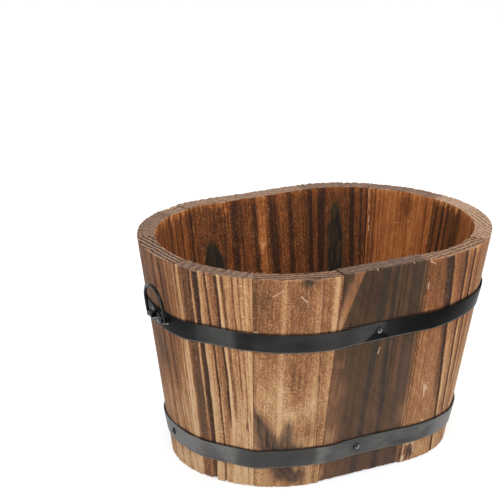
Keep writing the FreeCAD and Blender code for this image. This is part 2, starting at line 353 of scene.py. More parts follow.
def makeScorchedWood(marks):
    material, tree, shader = newMaterial("scorched_wood")
    tone, char, fuzz = vectorParts(tree, readAttribute(tree, "figure"))
    warm, endGrain, saw = vectorParts(tree, readAttribute(tree, "dress"))
    ringPlace, ringDark, onEnd = vectorParts(tree, readAttribute(tree, "rings"))
    lay = readAttribute(tree, "lay")

    # growth rings on the sawn ends: each darkens slowly and ends sharply
    ringPart = calc(tree, "FRACT", ringPlace, 0.0)
    ringRise = above(tree, ringPart, wood["ringStart"], wood["ringRise"])
    ringFall = times(tree, minus(tree, 1.0, ringPart), wood["ringFall"], True)
    ringLine = times(tree, times(tree, ringRise, ringFall), ringDark)

    fibre = stretchedNoise(tree, lay, (520, 520, 15), 5.0, 0.62)
    hair = stretchedNoise(tree, lay, (1500, 1500, 70), 3.0, 0.6)
    blotch = stretchedNoise(tree, lay, (60, 60, 22), 3.0, 0.6)
    mottle = stretchedNoise(tree, lay, (190, 190, 120), 2.0, 0.6)
    nap = stretchedNoise(tree, lay, (520, 520, 430), 3.0, 0.7)
    fleck = stretchedNoise(tree, lay, (900, 900, 300), 2.0, 0.7)

    # saw ripples across the board, in patches
    tilt = dotWith(tree, lay, (wood["rippleTilt"], 0.0, 1.0))
    sway = times(tree, blotch, wood["rippleSway"])
    ripplePlace = times(tree, plus(tree, tilt, sway), wood["rippleTurns"])
    ripple = times(tree, calc(tree, "SINE", ripplePlace, 0.0), saw)
    ripple = times(tree, ripple, above(tree, blotch, 0.35, 3.0))

    wander = spread(tree, fibre, wood["fibre"])
    wander = plus(tree, wander, spread(tree, hair, wood["hair"]))
    wander = plus(tree, wander, spread(tree, blotch, wood["blotch"]))
    wander = plus(tree, wander, times(tree, spread(tree, mottle, wood["mottle"]), fuzz))
    # raised nap: pale flecks in drifts over small pits
    drift = scaled(tree, above(tree, blotch, 0.3, 2.6), 0.34, 0.08)
    pale = times(tree, above(tree, nap, 0.54, 5.0), drift)
    napLift = plus(tree, pale, spread(tree, nap, wood["nap"]))
    wander = minus(tree, wander, times(tree, napLift, fuzz))
    wander = plus(tree, wander, times(tree, ripple, wood["ripple"]))
    # soot evens out the fibre, and sawn ends show their rings rather than the fibre
    for cover, calm in ((char, wood["sootCalm"]), (onEnd, wood["endCalm"])):
        wander = times(tree, wander, scaled(tree, cover, -calm, 1.0))
    level = plus(tree, plus(tree, tone, ringLine), wander, True)

    outside = ramp(tree, level, [
        (0.0, paint(228, 192, 150)), (0.2, paint(202, 159, 117)), (0.4, paint(172, 125, 88)),
        (0.6, paint(140, 97, 68)), (0.8, paint(102, 71, 51)), (1.0, paint(62, 44, 35)),
    ])
    inside = ramp(tree, level, [
        (0.0, paint(232, 172, 112)), (0.2, paint(206, 138, 80)), (0.4, paint(172, 102, 54)),
        (0.6, paint(130, 74, 38)), (0.8, paint(90, 53, 30)), (1.0, paint(56, 35, 25)),
    ])
    sawnEnd = ramp(tree, level, [
        (0.0, paint(214, 180, 150)), (0.35, paint(168, 134, 110)), (0.65, paint(122, 95, 79)),
        (1.0, paint(56, 42, 35)),
    ])
    colour = mixColour(tree, warm, outside, inside)
    colour = mixColour(tree, endGrain, colour, sawnEnd)
    # soot, a grey brown where it is thin
    thick = minus(tree, char, spread(tree, fibre, 0.5))
    soot = ramp(tree, thick, [(0.5, paint(86, 71, 63)), (0.78, paint(65, 59, 57)), (1.0, paint(36, 32, 31))])
    colour = mixColour(tree, char, colour, soot, "DARKEN")
    # pale torn fibres
    torn = above(tree, fleck, 0.62, 6.0)
    clear = minus(tree, 0.7, times(tree, char, 0.9), True)
    tornShare = times(tree, torn, times(tree, fuzz, clear))
    scratched = 0.0
    for start, end, width, depth in marks:
        mark = scratchMark(tree, lay, hair, start, end, width, depth)
        scratched = calc(tree, "MAXIMUM", scratched, mark)
    colour = mixColour(tree, tornShare, colour, paint(228, 194, 152))
    colour = mixColour(tree, times(tree, scratched, wood["markPale"]), colour, paint(236, 208, 174))
    tree.links.new(colour, shader.inputs["Base Color"])
    tree.links.new(scaled(tree, hair, 0.25, 0.5), shader.inputs["Roughness"])
    shader.inputs["Specular IOR Level"].default_value = wood["shine"]

    height = minus(tree, fibre, ringLine)
    for relief, share in ((hair, 0.5), (ripple, 0.35), (torn, 0.3), (nap, fuzz)):
        height = plus(tree, height, times(tree, relief, share))
    bumpFrom(tree, shader, height, wood["bump"], wood["bumpDeep"] * mm)
    return material


# The staves, in order round the rim from the first seam. Along a stave, 0 is its middle.
# Bands: place at the rim, place at the foot, width, darker by, soot, height where it runs out.
# Patches: place, height, half width, half height, darker by, soot.
# Flames: tip place and height, foot place and height, half width, softness, soot.
# Marks, torn pale: place and height of one end, of the other end, width.
# Chips at the rim: place, face (0 outer, 1 inner), half width, depth.
staveMake = {
    # spacing of the points, closer at a hoop's upper edge
    "columnStep": 0.7, "rowStep": 3.2, "depthStep": 0.75, "hoopReach": 4.0, "hoopRowStep": 0.8,
    "edgeRound": 0.8, "groove": 0.75,
    # how far from the rim each kind of wear and the painted arris highlight go, how dark the painted shade of
    # the seams and above the hoops is, and how pale and clean the worn, highlit edges are
    "unevenReach": 14.0, "tipReach": 9.0, "chipReach": 7.0, "arrisReach": 1.6,
    "endSoot": 0.2, "seamShade": 0.25, "seamShadeSoot": 0.4, "gapShadowDark": 0.5,
    "edgePaleAndHighlight": 0.42, "rubbedClean": 0.6, "firstSeed": 11,
}
plainStave = {
    "seen": "outer", "tone": 0.45, "soot": 0.0, "backTone": 0.5, "bow": 0.0, "saw": 0.25, "fine": 0.10,
    "fuzz": 0.65, "warm": 0.1, "tips": 0.15, "topShade": 0.07, "topWarm": 0.2, "wave": 1.0, "sharp": 1.0,
    "sawSkew": 0.0, "notch": 0.9, "arris": 0.3, "footRise": 0.0, "sawn": 1.0, "marks": [], "drop": 0.3,
    "inset": 0.15, "ringTurn": 90.0, "ringGap": 7.0, "rimTone": 0.5, "ringDark": 0.4, "ringDeep": 0.4,
    "bands": [], "patches": [], "flames": [], "backFlames": [], "chips": [],
}
staveLooks = {
    "stave_right_back_corner": {
        "width": 97.0, "seen": "inner", "sharp": -1.0, "tone": 0.45, "drop": 0.5, "ringTurn": 80.0,
        "fuzz": 0.4, "backTone": 0.36,
        "bands": [
            (-38, -40, 4, 0.15, 0), (25, 27, 1.2, 0.15, 0), (31, 33, 2, 0.2, 0.05), (38, 40, 3, 0.25, 0.1),
            (43, 46, 2.5, 0.3, 0.2), (0, 0, 2, 0.08, 0), (12, 12, 1, 0.1, 0), (-18, -19, 2, -0.08, 0),
        ],
        "patches": [(-5, 240, 9, 22, 0.2, 0)],
        "marks": [
            (47.4, 247, 46.6, 236, 0.7), (46.5, 231, 46, 224, 0.6), (45.6, 217, 45.2, 208, 0.8),
            (45, 205, 44.8, 199, 0.8), (7.5, 212, 3, 212.6, 0.6), (-11, 216.5, -15, 217.2, 0.7),
        ],
        "backFlames": [(-20, 128, -16, 45, 12, 13, 0.7)],
    },
    "stave_back_right": {
        "width": 90.0, "seen": "inner", "sharp": -1.0, "tone": 0.77, "drop": 0.0, "ringTurn": 70.0,
        "fuzz": 0.7, "backTone": 0.62,
        "bands": [
            (36.5, 42, 7.5, 0.3, 0.55), (19, 30, 10, 0.3, 0.5), (-23, -32, 6, 0.3, 0.45),
            (-35, -44, 2.5, 0.3, 0.2), (-42, -52, 1.5, 0.25, 0.15), (10, 14, 1, 0.1, 0),
            (-14, -18, 1.2, 0.12, 0),
        ],
        "flames": [(0, 242, 0, 196, 13, 6, 1.0)],
        "backFlames": [(18, 238, 14, 190, 12, 12, 0.7)],
    },
    "stave_back_middle": {
        "width": 106.0, "seen": "inner", "sharp": -1.0, "tone": 0.68, "drop": 0.6, "ringTurn": 75.0,
        "saw": 0.9, "rimTone": 0.36, "sawSkew": 0.2, "fuzz": 1.0, "fine": 0.16, "backTone": 0.44,
        "bands": [
            (-7.5, -11, 8, 0.3, 0.35), (-3.2, -6, 1, 0.3, 0.15), (-0.8, -4, 0.8, 0.25, 0.1),
            (-30, -33, 5.5, 0.3, 0.35), (18, 14, 4.5, 0.32, 0.4), (43.5, 43, 10, 0.25, 0.15),
            (35.5, 34, 3, 0.22, 0.1), (-42, -45, 1, 0.25, 0.1), (-50, -51, 2, 0.2, 0.1),
            (8, 6, 10, -0.2, 0), (50, 50, 1.2, -0.2, 0),
        ],
        "patches": [(11, 194, 3.5, 6, -0.35, 0), (8, 205, 4, 14, -0.1, 0)],
        "backFlames": [(22, 112, 18, 45, 13, 13, 0.75), (-26, 92, -30, 45, 10, 12, 0.65)],
    },
    "stave_back_left": {
        "width": 60.0, "seen": "inner", "sharp": -1.0, "tone": 0.73, "drop": 0.2, "saw": 1.8,
        "sawSkew": 0.45, "tips": 0.35, "fuzz": 1.1, "fine": 0.14, "rimTone": 0.36, "backTone": 0.72,
        "bands": [(27.5, 28, 4, 0.3, 0.55), (-26, -21, 1.2, 0.3, 0.3)],
        "flames": [(-4, 211, -6, 180, 18, 6, 1.0)],
        "patches": [(-27.5, 240, 2.5, 6, -0.4, 0)],
        "chips": [(-26, 1, 4, 1.6)],
    },
    "stave_back_filler": {
        "width": 32.0, "seen": "inner", "sharp": -1.0, "tone": 0.64, "drop": 0.7, "tips": 0.35,
        "rimTone": 0.38, "backTone": 0.42,
        "bands": [
            (-12, -12, 3, 0.2, 0), (2, 2, 3, 0.22, 0.1), (8, 8, 2, 0.15, 0), (14, 14, 2, 0.2, 0.1),
            (-5, -5, 3, -0.1, 0),
        ],
    },
    "stave_left_back_corner": {
        "width": 93.0, "seen": "inner", "sharp": -1.0, "tone": 0.64, "drop": 0.1, "ringTurn": 86.0,
        "rimTone": 0.5, "ringGap": 3.5, "tips": 0.4, "backTone": 0.54,
        "bands": [
            (-43.5, -46, 3, -0.2, 0), (-38, -41, 2, 0.3, 0.2), (-33, -36, 6, 0.2, 0.2),
            (-26, -28, 2, 0.15, 0), (-10, -11, 3, 0.1, 0), (15, 14, 4, 0.12, 0),
        ],
        "backFlames": [(-8, 150, -4, 70, 11, 13, 0.6)],
    },
    "stave_left_end": {
        "width": 101.0, "tone": 0.55, "drop": 0.3, "ringTurn": 98.0, "ringGap": 5.6, "ringDark": 0.85,
        "ringDeep": 1.4, "rimTone": 0.46, "backTone": 0.6,
        "bands": [
            (-12, -10, 5, 0.2, 0), (8, 15, 3.2, 0.28, 0), (22, 35, 3.2, 0.28, 0), (35, 43, 1.4, -0.3, 0),
            (46.5, 50, 1.6, -0.35, 0), (40, 46, 5, -0.1, 0), (29, 39, 1.2, 0.2, 0), (-25, -22, 4, 0.2, 0),
            (-38, -36, 3, 0.25, 0), (1, 6, 5, -0.1, 0), (16, 25, 6, -0.1, 0),
        ],
        "patches": [
            (-10, 190, 60, 70, 0.12, 0), (10, 65, 60, 40, -0.12, 0), (10, 8, 60, 20, -0.36, 0),
            (0, 132, 6, 26, 0.1, 0), (8, 134, 26, 26, 0.12, 0.08), (17, 118, 5, 34, 0.14, 0.05),
            (33, 74, 5, 18, -0.28, 0), (25, 80, 4, 24, 0.1, 0), (-2, 53, 16, 8, 0.16, 0),
            (36, 12, 14, 16, -0.12, 0),
        ],
    },
    "stave_left_front_corner": {
        "width": 92.2, "tone": 0.27, "drop": 0.9, "bow": 3.5, "ringTurn": 6.0, "ringGap": 9.0, "fuzz": 0.9,
        "fine": 0.17, "ringDark": 0.22, "ringDeep": 0.9, "rimTone": 0.58, "notch": 2.2, "topShade": 0.06,
        "backTone": 0.56,
        "bands": [
            (-32, -28.6, 14, 0.48, 0), (-19.8, -15.2, 7.2, 0.72, 0.2), (-6.4, 3.8, 2.4, 0.7, 0.15),
            (-0.8, 9.4, 9, 0.24, 0), (4.9, 16.6, 2.6, 0.75, 0.2, 75), (12.4, 25, 4.6, 0.44, 0.05, 85),
            (23.5, 33, 1.8, 0.42, 0, 108), (-40.4, -37, 1.2, 0.3, 0), (-24, -21.2, 2.2, -0.2, -0.1),
            (9.4, 19.4, 3, -0.12, 0), (38, 43, 2, -0.15, 0), (31, 38, 1, 0.22, 0), (-45, -42, 1, 0.2, 0),
            (-43, -38.4, 4, -0.15, 0), (21, 29, 1, 0.2, 0), (-11, -2, 1, 0.16, 0),
            (35.5, 40.5, 1, 0.18, 0), (42.6, 45, 1, 0.2, 0), (12.6, 21.4, 0.9, 0.18, 0),
        ],
        "patches": [
            (10, 8, 36, 22, -0.14, 0), (-43, 100, 4.5, 60, -0.32, 0), (-44, 20, 5, 60, -0.3, 0),
            (-26.5, 92, 6, 55, 0.03, 0.55), (-13, 92, 3.4, 55, 0.05, 0.35), (35, 215, 12, 34, -0.02, 0),
            (-36, 10, 3.5, 24, -0.28, 0), (39.2, 72, 1.3, 6, 0.4, 0.6), (27, 130, 6, 30, 0.12, 0),
            (-44, 8, 6, 24, -0.2, 0),
        ],
        "marks": [(40, 84, 40.6, 74, 0.8), (41, 75, 41.6, 67, 1.1), (39.4, 88, 39.8, 81, 0.5)],
    },
    "stave_front_left": {
        "width": 96.8, "tone": 0.44, "drop": 1.2, "ringTurn": 94.0, "ringGap": 6.4, "fine": 0.06,
        "fuzz": 1.15, "rimTone": 0.5, "ringDark": 0.6, "ringDeep": 0.8, "arris": 0.7, "backTone": 0.62,
        "sawn": 0.6,
        "bands": [
            (24.5, 40.5, 1.0, 0.26, 0), (30, 42, 6, 0.02, 0), (41, 46.5, 6, -0.3, 0, 176),
            (19.5, 33, 8, -0.12, 0), (-46, -48, 5, 0.1, 0), (-16.1, -16, 4, -0.08, 0),
            (-14.4, -14.4, 8, -0.15, 0, 108), (-32, -32, 2, 0.08, 0), (7, 8, 1.2, 0.05, 0),
            (13, 14, 1, 0.08, 0), (47.5, 48, 1.5, 0.06, 0), (36.5, 43, 1, 0.1, 0),
            (40, 46, 9, -0.1, 0, 88),
        ],
        "patches": [
            (-38, 222, 12, 40, 0.1, 0), (-46, 222, 7, 40, 0.1, 0), (2, 140, 11, 30, 0.14, 0),
            (-34, 110, 14, 22, -0.15, 0), (-14, 104, 10, 22, -0.2, 0), (2, 90, 12, 9, -0.24, 0),
            (24, 98, 10, 18, -0.18, 0), (-13, 203, 4, 20, -0.06, 0), (-42, 150, 8, 12, -0.08, 0),
            (28, 70, 13, 14, 0.2, 0), (2, 215, 9, 28, 0.1, 0), (-8, 21, 17, 10, 0.05, 0.9),
            (-12, 13, 10, 7, 0.05, 0.85), (8, 14, 16, 10, 0.05, 0.84), (8, 249, 6, 6, 0.3, 0.8),
            (-12, 247, 5, 9, 0.12, 0), (20, 247, 4, 9, 0.15, 0.1), (20, 140, 9, 28, 0.04, 0),
            (-18, 72, 10, 10, -0.1, 0), (17, 55, 10, 7, -0.16, 0), (-38, 12, 12, 12, -0.12, 0),
            (46, 10, 6, 16, -0.06, 0), (-5, 47, 24, 9, 0.05, 0.8),
        ],
        "flames": [(-54, 106, -24, 46, 18, 15, 0.9), (-2.5, 87, -6, 46, 14, 12, 0.8)],
        "marks": [
            (-28, 229, -16, 236, 0.8), (-17.6, 237, -15, 234, 0.7), (2, 230, 5, 226, 0.9),
            (5, 226, 9, 222, 1.4), (-47.5, 187.7, -43, 187.4, 1.3),
        ],
        "chips": [(18, 0, 6, 4.2), (-7, 0, 3, 0.9), (30, 0, 3, 1.0)],
    },
    "stave_front_middle": {
        "width": 106.0, "tone": 0.82, "soot": 0.66, "drop": 0.0, "ringTurn": 92.0, "saw": 1.9, "fuzz": 0.3,
        "footRise": 1.3, "ringDark": 0.22, "ringDeep": 0.25, "ringGap": 8.0, "rimTone": 0.68,
        "topShade": 0.1, "topWarm": 0.25, "warm": 0.0, "backTone": 0.68,
        "bands": [
            (0.5, -6.5, 9, 0.06, 0.22), (13, 19, 6, 0.06, 0.24), (20, 24, 3, 0.05, 0.1),
            (25.5, 27, 2, 0.06, 0.08), (40, 40, 12, 0, 0.1), (7.5, 5.5, 5, -0.06, -0.1, 110),
            (16.2, 20, 1.3, -0.22, -0.3, 120), (22.5, 28, 4, -0.05, -0.06), (30, 31, 5, -0.08, -0.12, 95),
            (49.5, 50, 1.5, -0.25, -0.35), (52, 52, 2, -0.2, -0.35), (-33.5, -116, 15, -0.36, -0.55),
            (-20, -22, 4, 0.03, 0.05), (-28, -30, 3, 0.03, 0.05),
        ],
        "patches": [
            (-46, 145, 6, 6, -0.22, -0.3), (-44, 58, 9, 13, -0.3, -0.35), (46, 64, 7, 17, -0.2, -0.28),
            (-40, 105, 10, 20, -0.12, -0.16), (-49, 100, 9, 65, -0.14, -0.26), (-15, 60, 45, 60, 0, -0.05),
            (-30, 8, 26, 18, -0.05, -0.1), (-50, 196, 7, 16, -0.2, -0.3), (-51, 13, 5, 13, -0.3, -0.45),
            (47, 130, 6, 30, -0.08, -0.1),
        ],
        "marks": [(4.9, 155, 3, 147, 1.0), (-13.6, 249.4, -12.6, 246.4, 0.9), (32.5, 249.4, 33.4, 247, 0.8)],
    },
    "stave_front_right": {
        "width": 101.0, "tone": 0.47, "drop": 0.7, "ringTurn": 90.0, "ringGap": 6.6, "ringDark": 0.55,
        "ringDeep": 0.4, "arris": 1.0, "rimTone": 0.42, "sawn": 0.6, "fuzz": 0.75, "warm": 0.18,
        "topWarm": 0.4, "wave": 1.6, "topShade": 0.08, "backTone": 0.54,
        "bands": [
            (-19.5, 14.5, 4, 0.85, 0.1), (-24.5, 8, 8, 0.25, 0.0, 70), (4.5, 31.5, 3, 0.95, 0.1, 50),
            (21.5, 42, 2.6, 0.8, 0.05, 80), (35, 50, 2, 0.4, 0.1), (29, 46, 1.2, 0.25, 0),
            (-36, -34, 1, 0.12, 0), (-43, -42, 0.8, 0.2, 0), (-48, -48, 1.2, 0.35, 0.1),
            (12.5, 37, 1, 0.2, 0), (-4, 22, 1, 0.12, 0),
        ],
        "patches": [
            (-12, 250, 40, 50, 0.08, 0), (28, 247, 26, 8, -0.16, 0), (14, 10, 36, 22, -0.12, 0),
            (14, 115, 12, 40, -0.14, 0), (22, 52, 30, 12, 0.12, 0.05), (-19, 12, 8, 13, -0.14, 0),
            (-40, 73, 6, 12, 0.12, 0), (-49, 12, 3, 14, 0.3, 0.4), (-35, 215, 10, 40, 0.05, 0),
            (-30, 62, 16, 14, 0.08, 0), (-28, 132, 10, 24, -0.06, 0), (-38, 24, 7, 4, -0.24, 0),
            (-36, 2, 8, 3, -0.16, 0), (-35.5, 13, 8, 8, 0.12, 0.85),
        ],
        "marks": [
            (-28.6, 95.5, -26.8, 86, 2.2), (-27, 87, -25.4, 79, 1.5), (-25.3, 95, -24, 88, 1.2),
            (-22.4, 91, -21, 87, 0.9), (-33.5, 98.6, -27.5, 97.2, 0.6), (-26, 96.8, -18.5, 95.8, 0.6),
            (-23, 49.5, -18, 49.2, 1.6), (-17.6, 63, -15.4, 61.4, 0.9), (-49.6, 246.6, -42, 243, 0.8),
            (-49, 248, -47.6, 244.4, 0.6), (-47.4, 222, -47.6, 214, 0.8), (-46, 24, -46, 10, 0.8),
            (-45.6, 9, -46, 1, 2.2), (-44, 26, -41.4, 21.6, 1.1), (-41, 21.6, -39.4, 25.6, 1.0),
            (-37.4, 22, -35.4, 25.6, 1.0), (-34, 25.6, -32.4, 21, 1.1), (-30.4, 24.6, -27.4, 10, 1.3),
        ],
    },
    "stave_right_front_corner": {
        "width": 114.0, "tone": 0.36, "drop": 0.4, "ringTurn": 110.0, "ringGap": 5.2, "ringDark": 0.5,
        "ringDeep": 0.3, "rimTone": 0.22, "sawn": 0.8, "arris": 0.9, "warm": 0.0, "topWarm": 0.0,
        "backTone": 0.5,
        "bands": [
            (-47, -40, 2.5, 0.6, 0.1), (-33, -28, 2, 0.45, 0.05), (-21, -20, 3, 0.35, 0),
            (-6, -8, 2, 0.3, 0), (16, 14, 5, 0.5, 0.05), (27, 24, 2.4, 0.65, 0.1), (41, 37, 3, 0.55, 0.1),
            (52, 46, 2, 0.35, 0),
        ],
    },
    "stave_right_end": {
        "width": 62.0, "seen": "inner", "sharp": -1.0, "tone": 0.75, "soot": 0.12, "drop": 0.2,
        "ringTurn": 97.0, "tips": 0.5, "ringGap": 2.7, "rimTone": 0.13, "ringDark": 0.42, "ringDeep": 0.2,
        "backTone": 0.48,
        "bands": [
            (22, 26, 3, 0.3, 0.25), (11, 13, 4, 0.3, 0.4), (0, 0, 4, 0.3, 0.4), (-13, -15, 3, 0.25, 0.3),
            (-22, -25, 8, 0.15, 0.2), (6, 7, 4, -0.1, 0), (17, 20, 4, -0.1, 0),
        ],
    },
}


def layPlace(number, across, up, skew):
    # where a place on a face lies in the wood, each stave in a stretch of wood of its own
    narrow = 1 - tub["flare"] / tub["endRadius"] * (tub["height"] - up) / tub["height"]
    return across * narrow * mm + 0.31 * number, (up + skew * across) * mm + 0.17 * number


woodMarks = []
for woodNumber, woodLook in enumerate(staveLooks.values()):
    markDepth = levelThickness * mm if woodLook.get("seen") == "inner" else 0.0
    for placeA, upA, placeB, upB, markWidth in woodLook.get("marks", []):
        markStart = layPlace(woodNumber, placeA, upA, 0)
        markEnd = layPlace(woodNumber, placeB, upB, 0)
        woodMarks.append((markStart, markEnd, markWidth * mm, markDepth))
scorchedWood = makeScorchedWood(woodMarks)
print("scorched wood made")


def edgeSteps(length, step):
    # places along one side of a board, close together at both ends where the edge is rounded
    ends = np.array([0.0, 0.15, 0.4, 0.8, 1.4, 2.2])
    count = max(2, round((length - 2 * ends[-1]) / step))
    middle = np.linspace(ends[-1], length - ends[-1], count + 1)
    return np.concatenate([ends[:-1], middle, length - ends[-2::-1]])


def boardSkin(shape):
    # marks the outside points of a block of points and joins them in quads facing outwards
    outside = np.zeros(shape, bool)
    for axis in range(3):
        index = [slice(None)] * 3
        for end in (0, -1):
            index[axis] = end
            outside[tuple(index)] = True
    number = np.full(shape, -1)
    number[outside] = np.arange(outside.sum())
    quads = []
    for axis in range(3):
        for end in (0, -1):
            side = np.take(number, end, axis)
            corners = [side[:-1, :-1], side[1:, :-1], side[1:, 1:], side[:-1, 1:]]
            quad = np.stack(corners, -1).reshape(-1, 4)
            quads.append(quad[:, ::-1] if (end == 0) != (axis == 1) else quad)
    return outside, np.concatenate(quads)


def bandField(across, fall, up, look, bands, seed):
    # how dark, sooty and hollow the bands of growth rings make each point
    sway = look["bow"] * 6.75 * fall**2 * (1 - fall)
    dark = np.zeros_like(across)
    soot = np.zeros_like(across)
    groove = np.zeros_like(across)
    for number, (top, foot, width, shade, burn, *low) in enumerate(bands):
        wander = 0.6 * noiseLine(up, 45, seed + number) + 0.3 * noiseLine(up, 14, seed + number + 50)
        centre = top + (foot - top) * fall + sway + wander * look["wave"]
        half = width / 2 * (1 + 0.2 * noiseLine(up, 60, seed + number + 100))
        offset = (across - centre) * look["sharp"]  # a ring darkens slowly and ends sharply
        sharp = smooth((half - offset) / (0.5 + 0.06 * width) + 0.5)
        slow = smooth((half + offset) / (0.6 + 0.5 * width) + 0.5)
        lasts = smooth((up - low[0]) / 24 + 0.5) if low else 1.0
        inside = np.minimum(sharp, slow) * lasts
        dark += shade * inside
        if shade > 0.45:
            # the wood darkens towards a strong ring and is palest just past it
            before = np.maximum(-offset - half, 0)
            past = np.maximum(offset - half, 0)
            dark += 0.2 * shade * np.exp(-before / 6) * (before > 0) * lasts
            dark -= 0.42 * shade * (1 - np.exp(-past / 0.6)) * np.exp(-past / 4) * lasts
        soot += burn * inside
        groove = np.maximum(groove, inside * min(1.0, max(shade, 0) * 1.4) * min(1.0, 6 / width))
    lean = sum(np.clip(band[1] - band[0], -30, 30) for band in bands) / max(1, len(bands))
    thread = across - lean * fall - sway
    fine = noiseLine(thread, 2.4, seed + 201) * 0.6 + noiseLine(thread, 1.1, seed + 202) * 0.4
    fine *= 0.7 + 0.5 * noiseSheet(thread, up, 6, 70, seed + 203)
    dark += look["fine"] * fine
    groove = np.clip(groove + 0.12 * fine, 0, 1)
    return dark, soot, groove


def patchField(across, up, patches, flames, seed):
    dark = np.zeros_like(across)
    soot = np.zeros_like(across)
    smoke = np.zeros_like(across)
    warpA = across + 2.0 * noiseSheet(across, up, 5, 16, seed + 301)
    warpU = up + 2.5 * noiseLine(across, 2.2, seed + 302) + 4.0 * noiseSheet(across, up, 9, 14, seed + 303)
    for place, height, half, rise, shade, burn in patches:
        inside = np.exp(-((warpA - place) / half) ** 2 - ((warpU - height) / rise) ** 2)
        dark += shade * inside
        smoke = np.maximum(smoke, burn * smooth(inside * 1.4))
        soot += min(burn, 0) * inside
    flameA = across + 0.8 * noiseSheet(across, up, 5, 16, seed + 304)
    flameU = up + 1.4 * noiseLine(across, 2.2, seed + 302) + 3.0 * noiseSheet(across, up, 9, 14, seed + 303)
    for tip, tipUp, foot, footUp, half, soft, burn in flames:
        along = np.clip((tipUp - flameU) / (tipUp - footUp), 0, 1)
        centre = tip + (foot - tip) * along
        inside = smooth((half * along**0.75 - np.abs(flameA - centre)) / soft + 0.45) * smooth(along * 5)
        if footUp < tub["height"] / 4:
            inside = inside * smooth((up - footUp + 20) / 15)
        smoke = np.maximum(smoke, burn * inside * (1 + 0.18 * noiseSheet(across, up, 1.6, 13, seed + 305)))
    return dark, soot + smoke


def strayBands(half, seed):
    # growth rings for the face of a board that no view of the front shows
    draw = np.random.default_rng(seed)
    bands = []
    place = -half + draw.uniform(2, 6)
    while place < half:
        width = draw.uniform(1.2, 4.5)
        shade = draw.uniform(0.15, 0.5)
        bands.append((place, place * 0.92 + draw.uniform(-3, 3), width, shade, max(0, shade - 0.25)))
        place += draw.uniform(7, 13)
    return bands


def chipField(across, inward, look, seed):
    # how far the rim is broken away
    lost = np.zeros_like(across)
    for place, face, half, depth in look["chips"]:
        deep = inward if face == 0 else levelThickness - inward
        jag = 1 + 0.5 * noiseLine(across, 1.1, seed + 401)
        broken = np.exp(-((across - place) / half) ** 2) * smooth(1 - deep / staveMake["chipReach"])
        lost += depth * broken * jag
    return lost


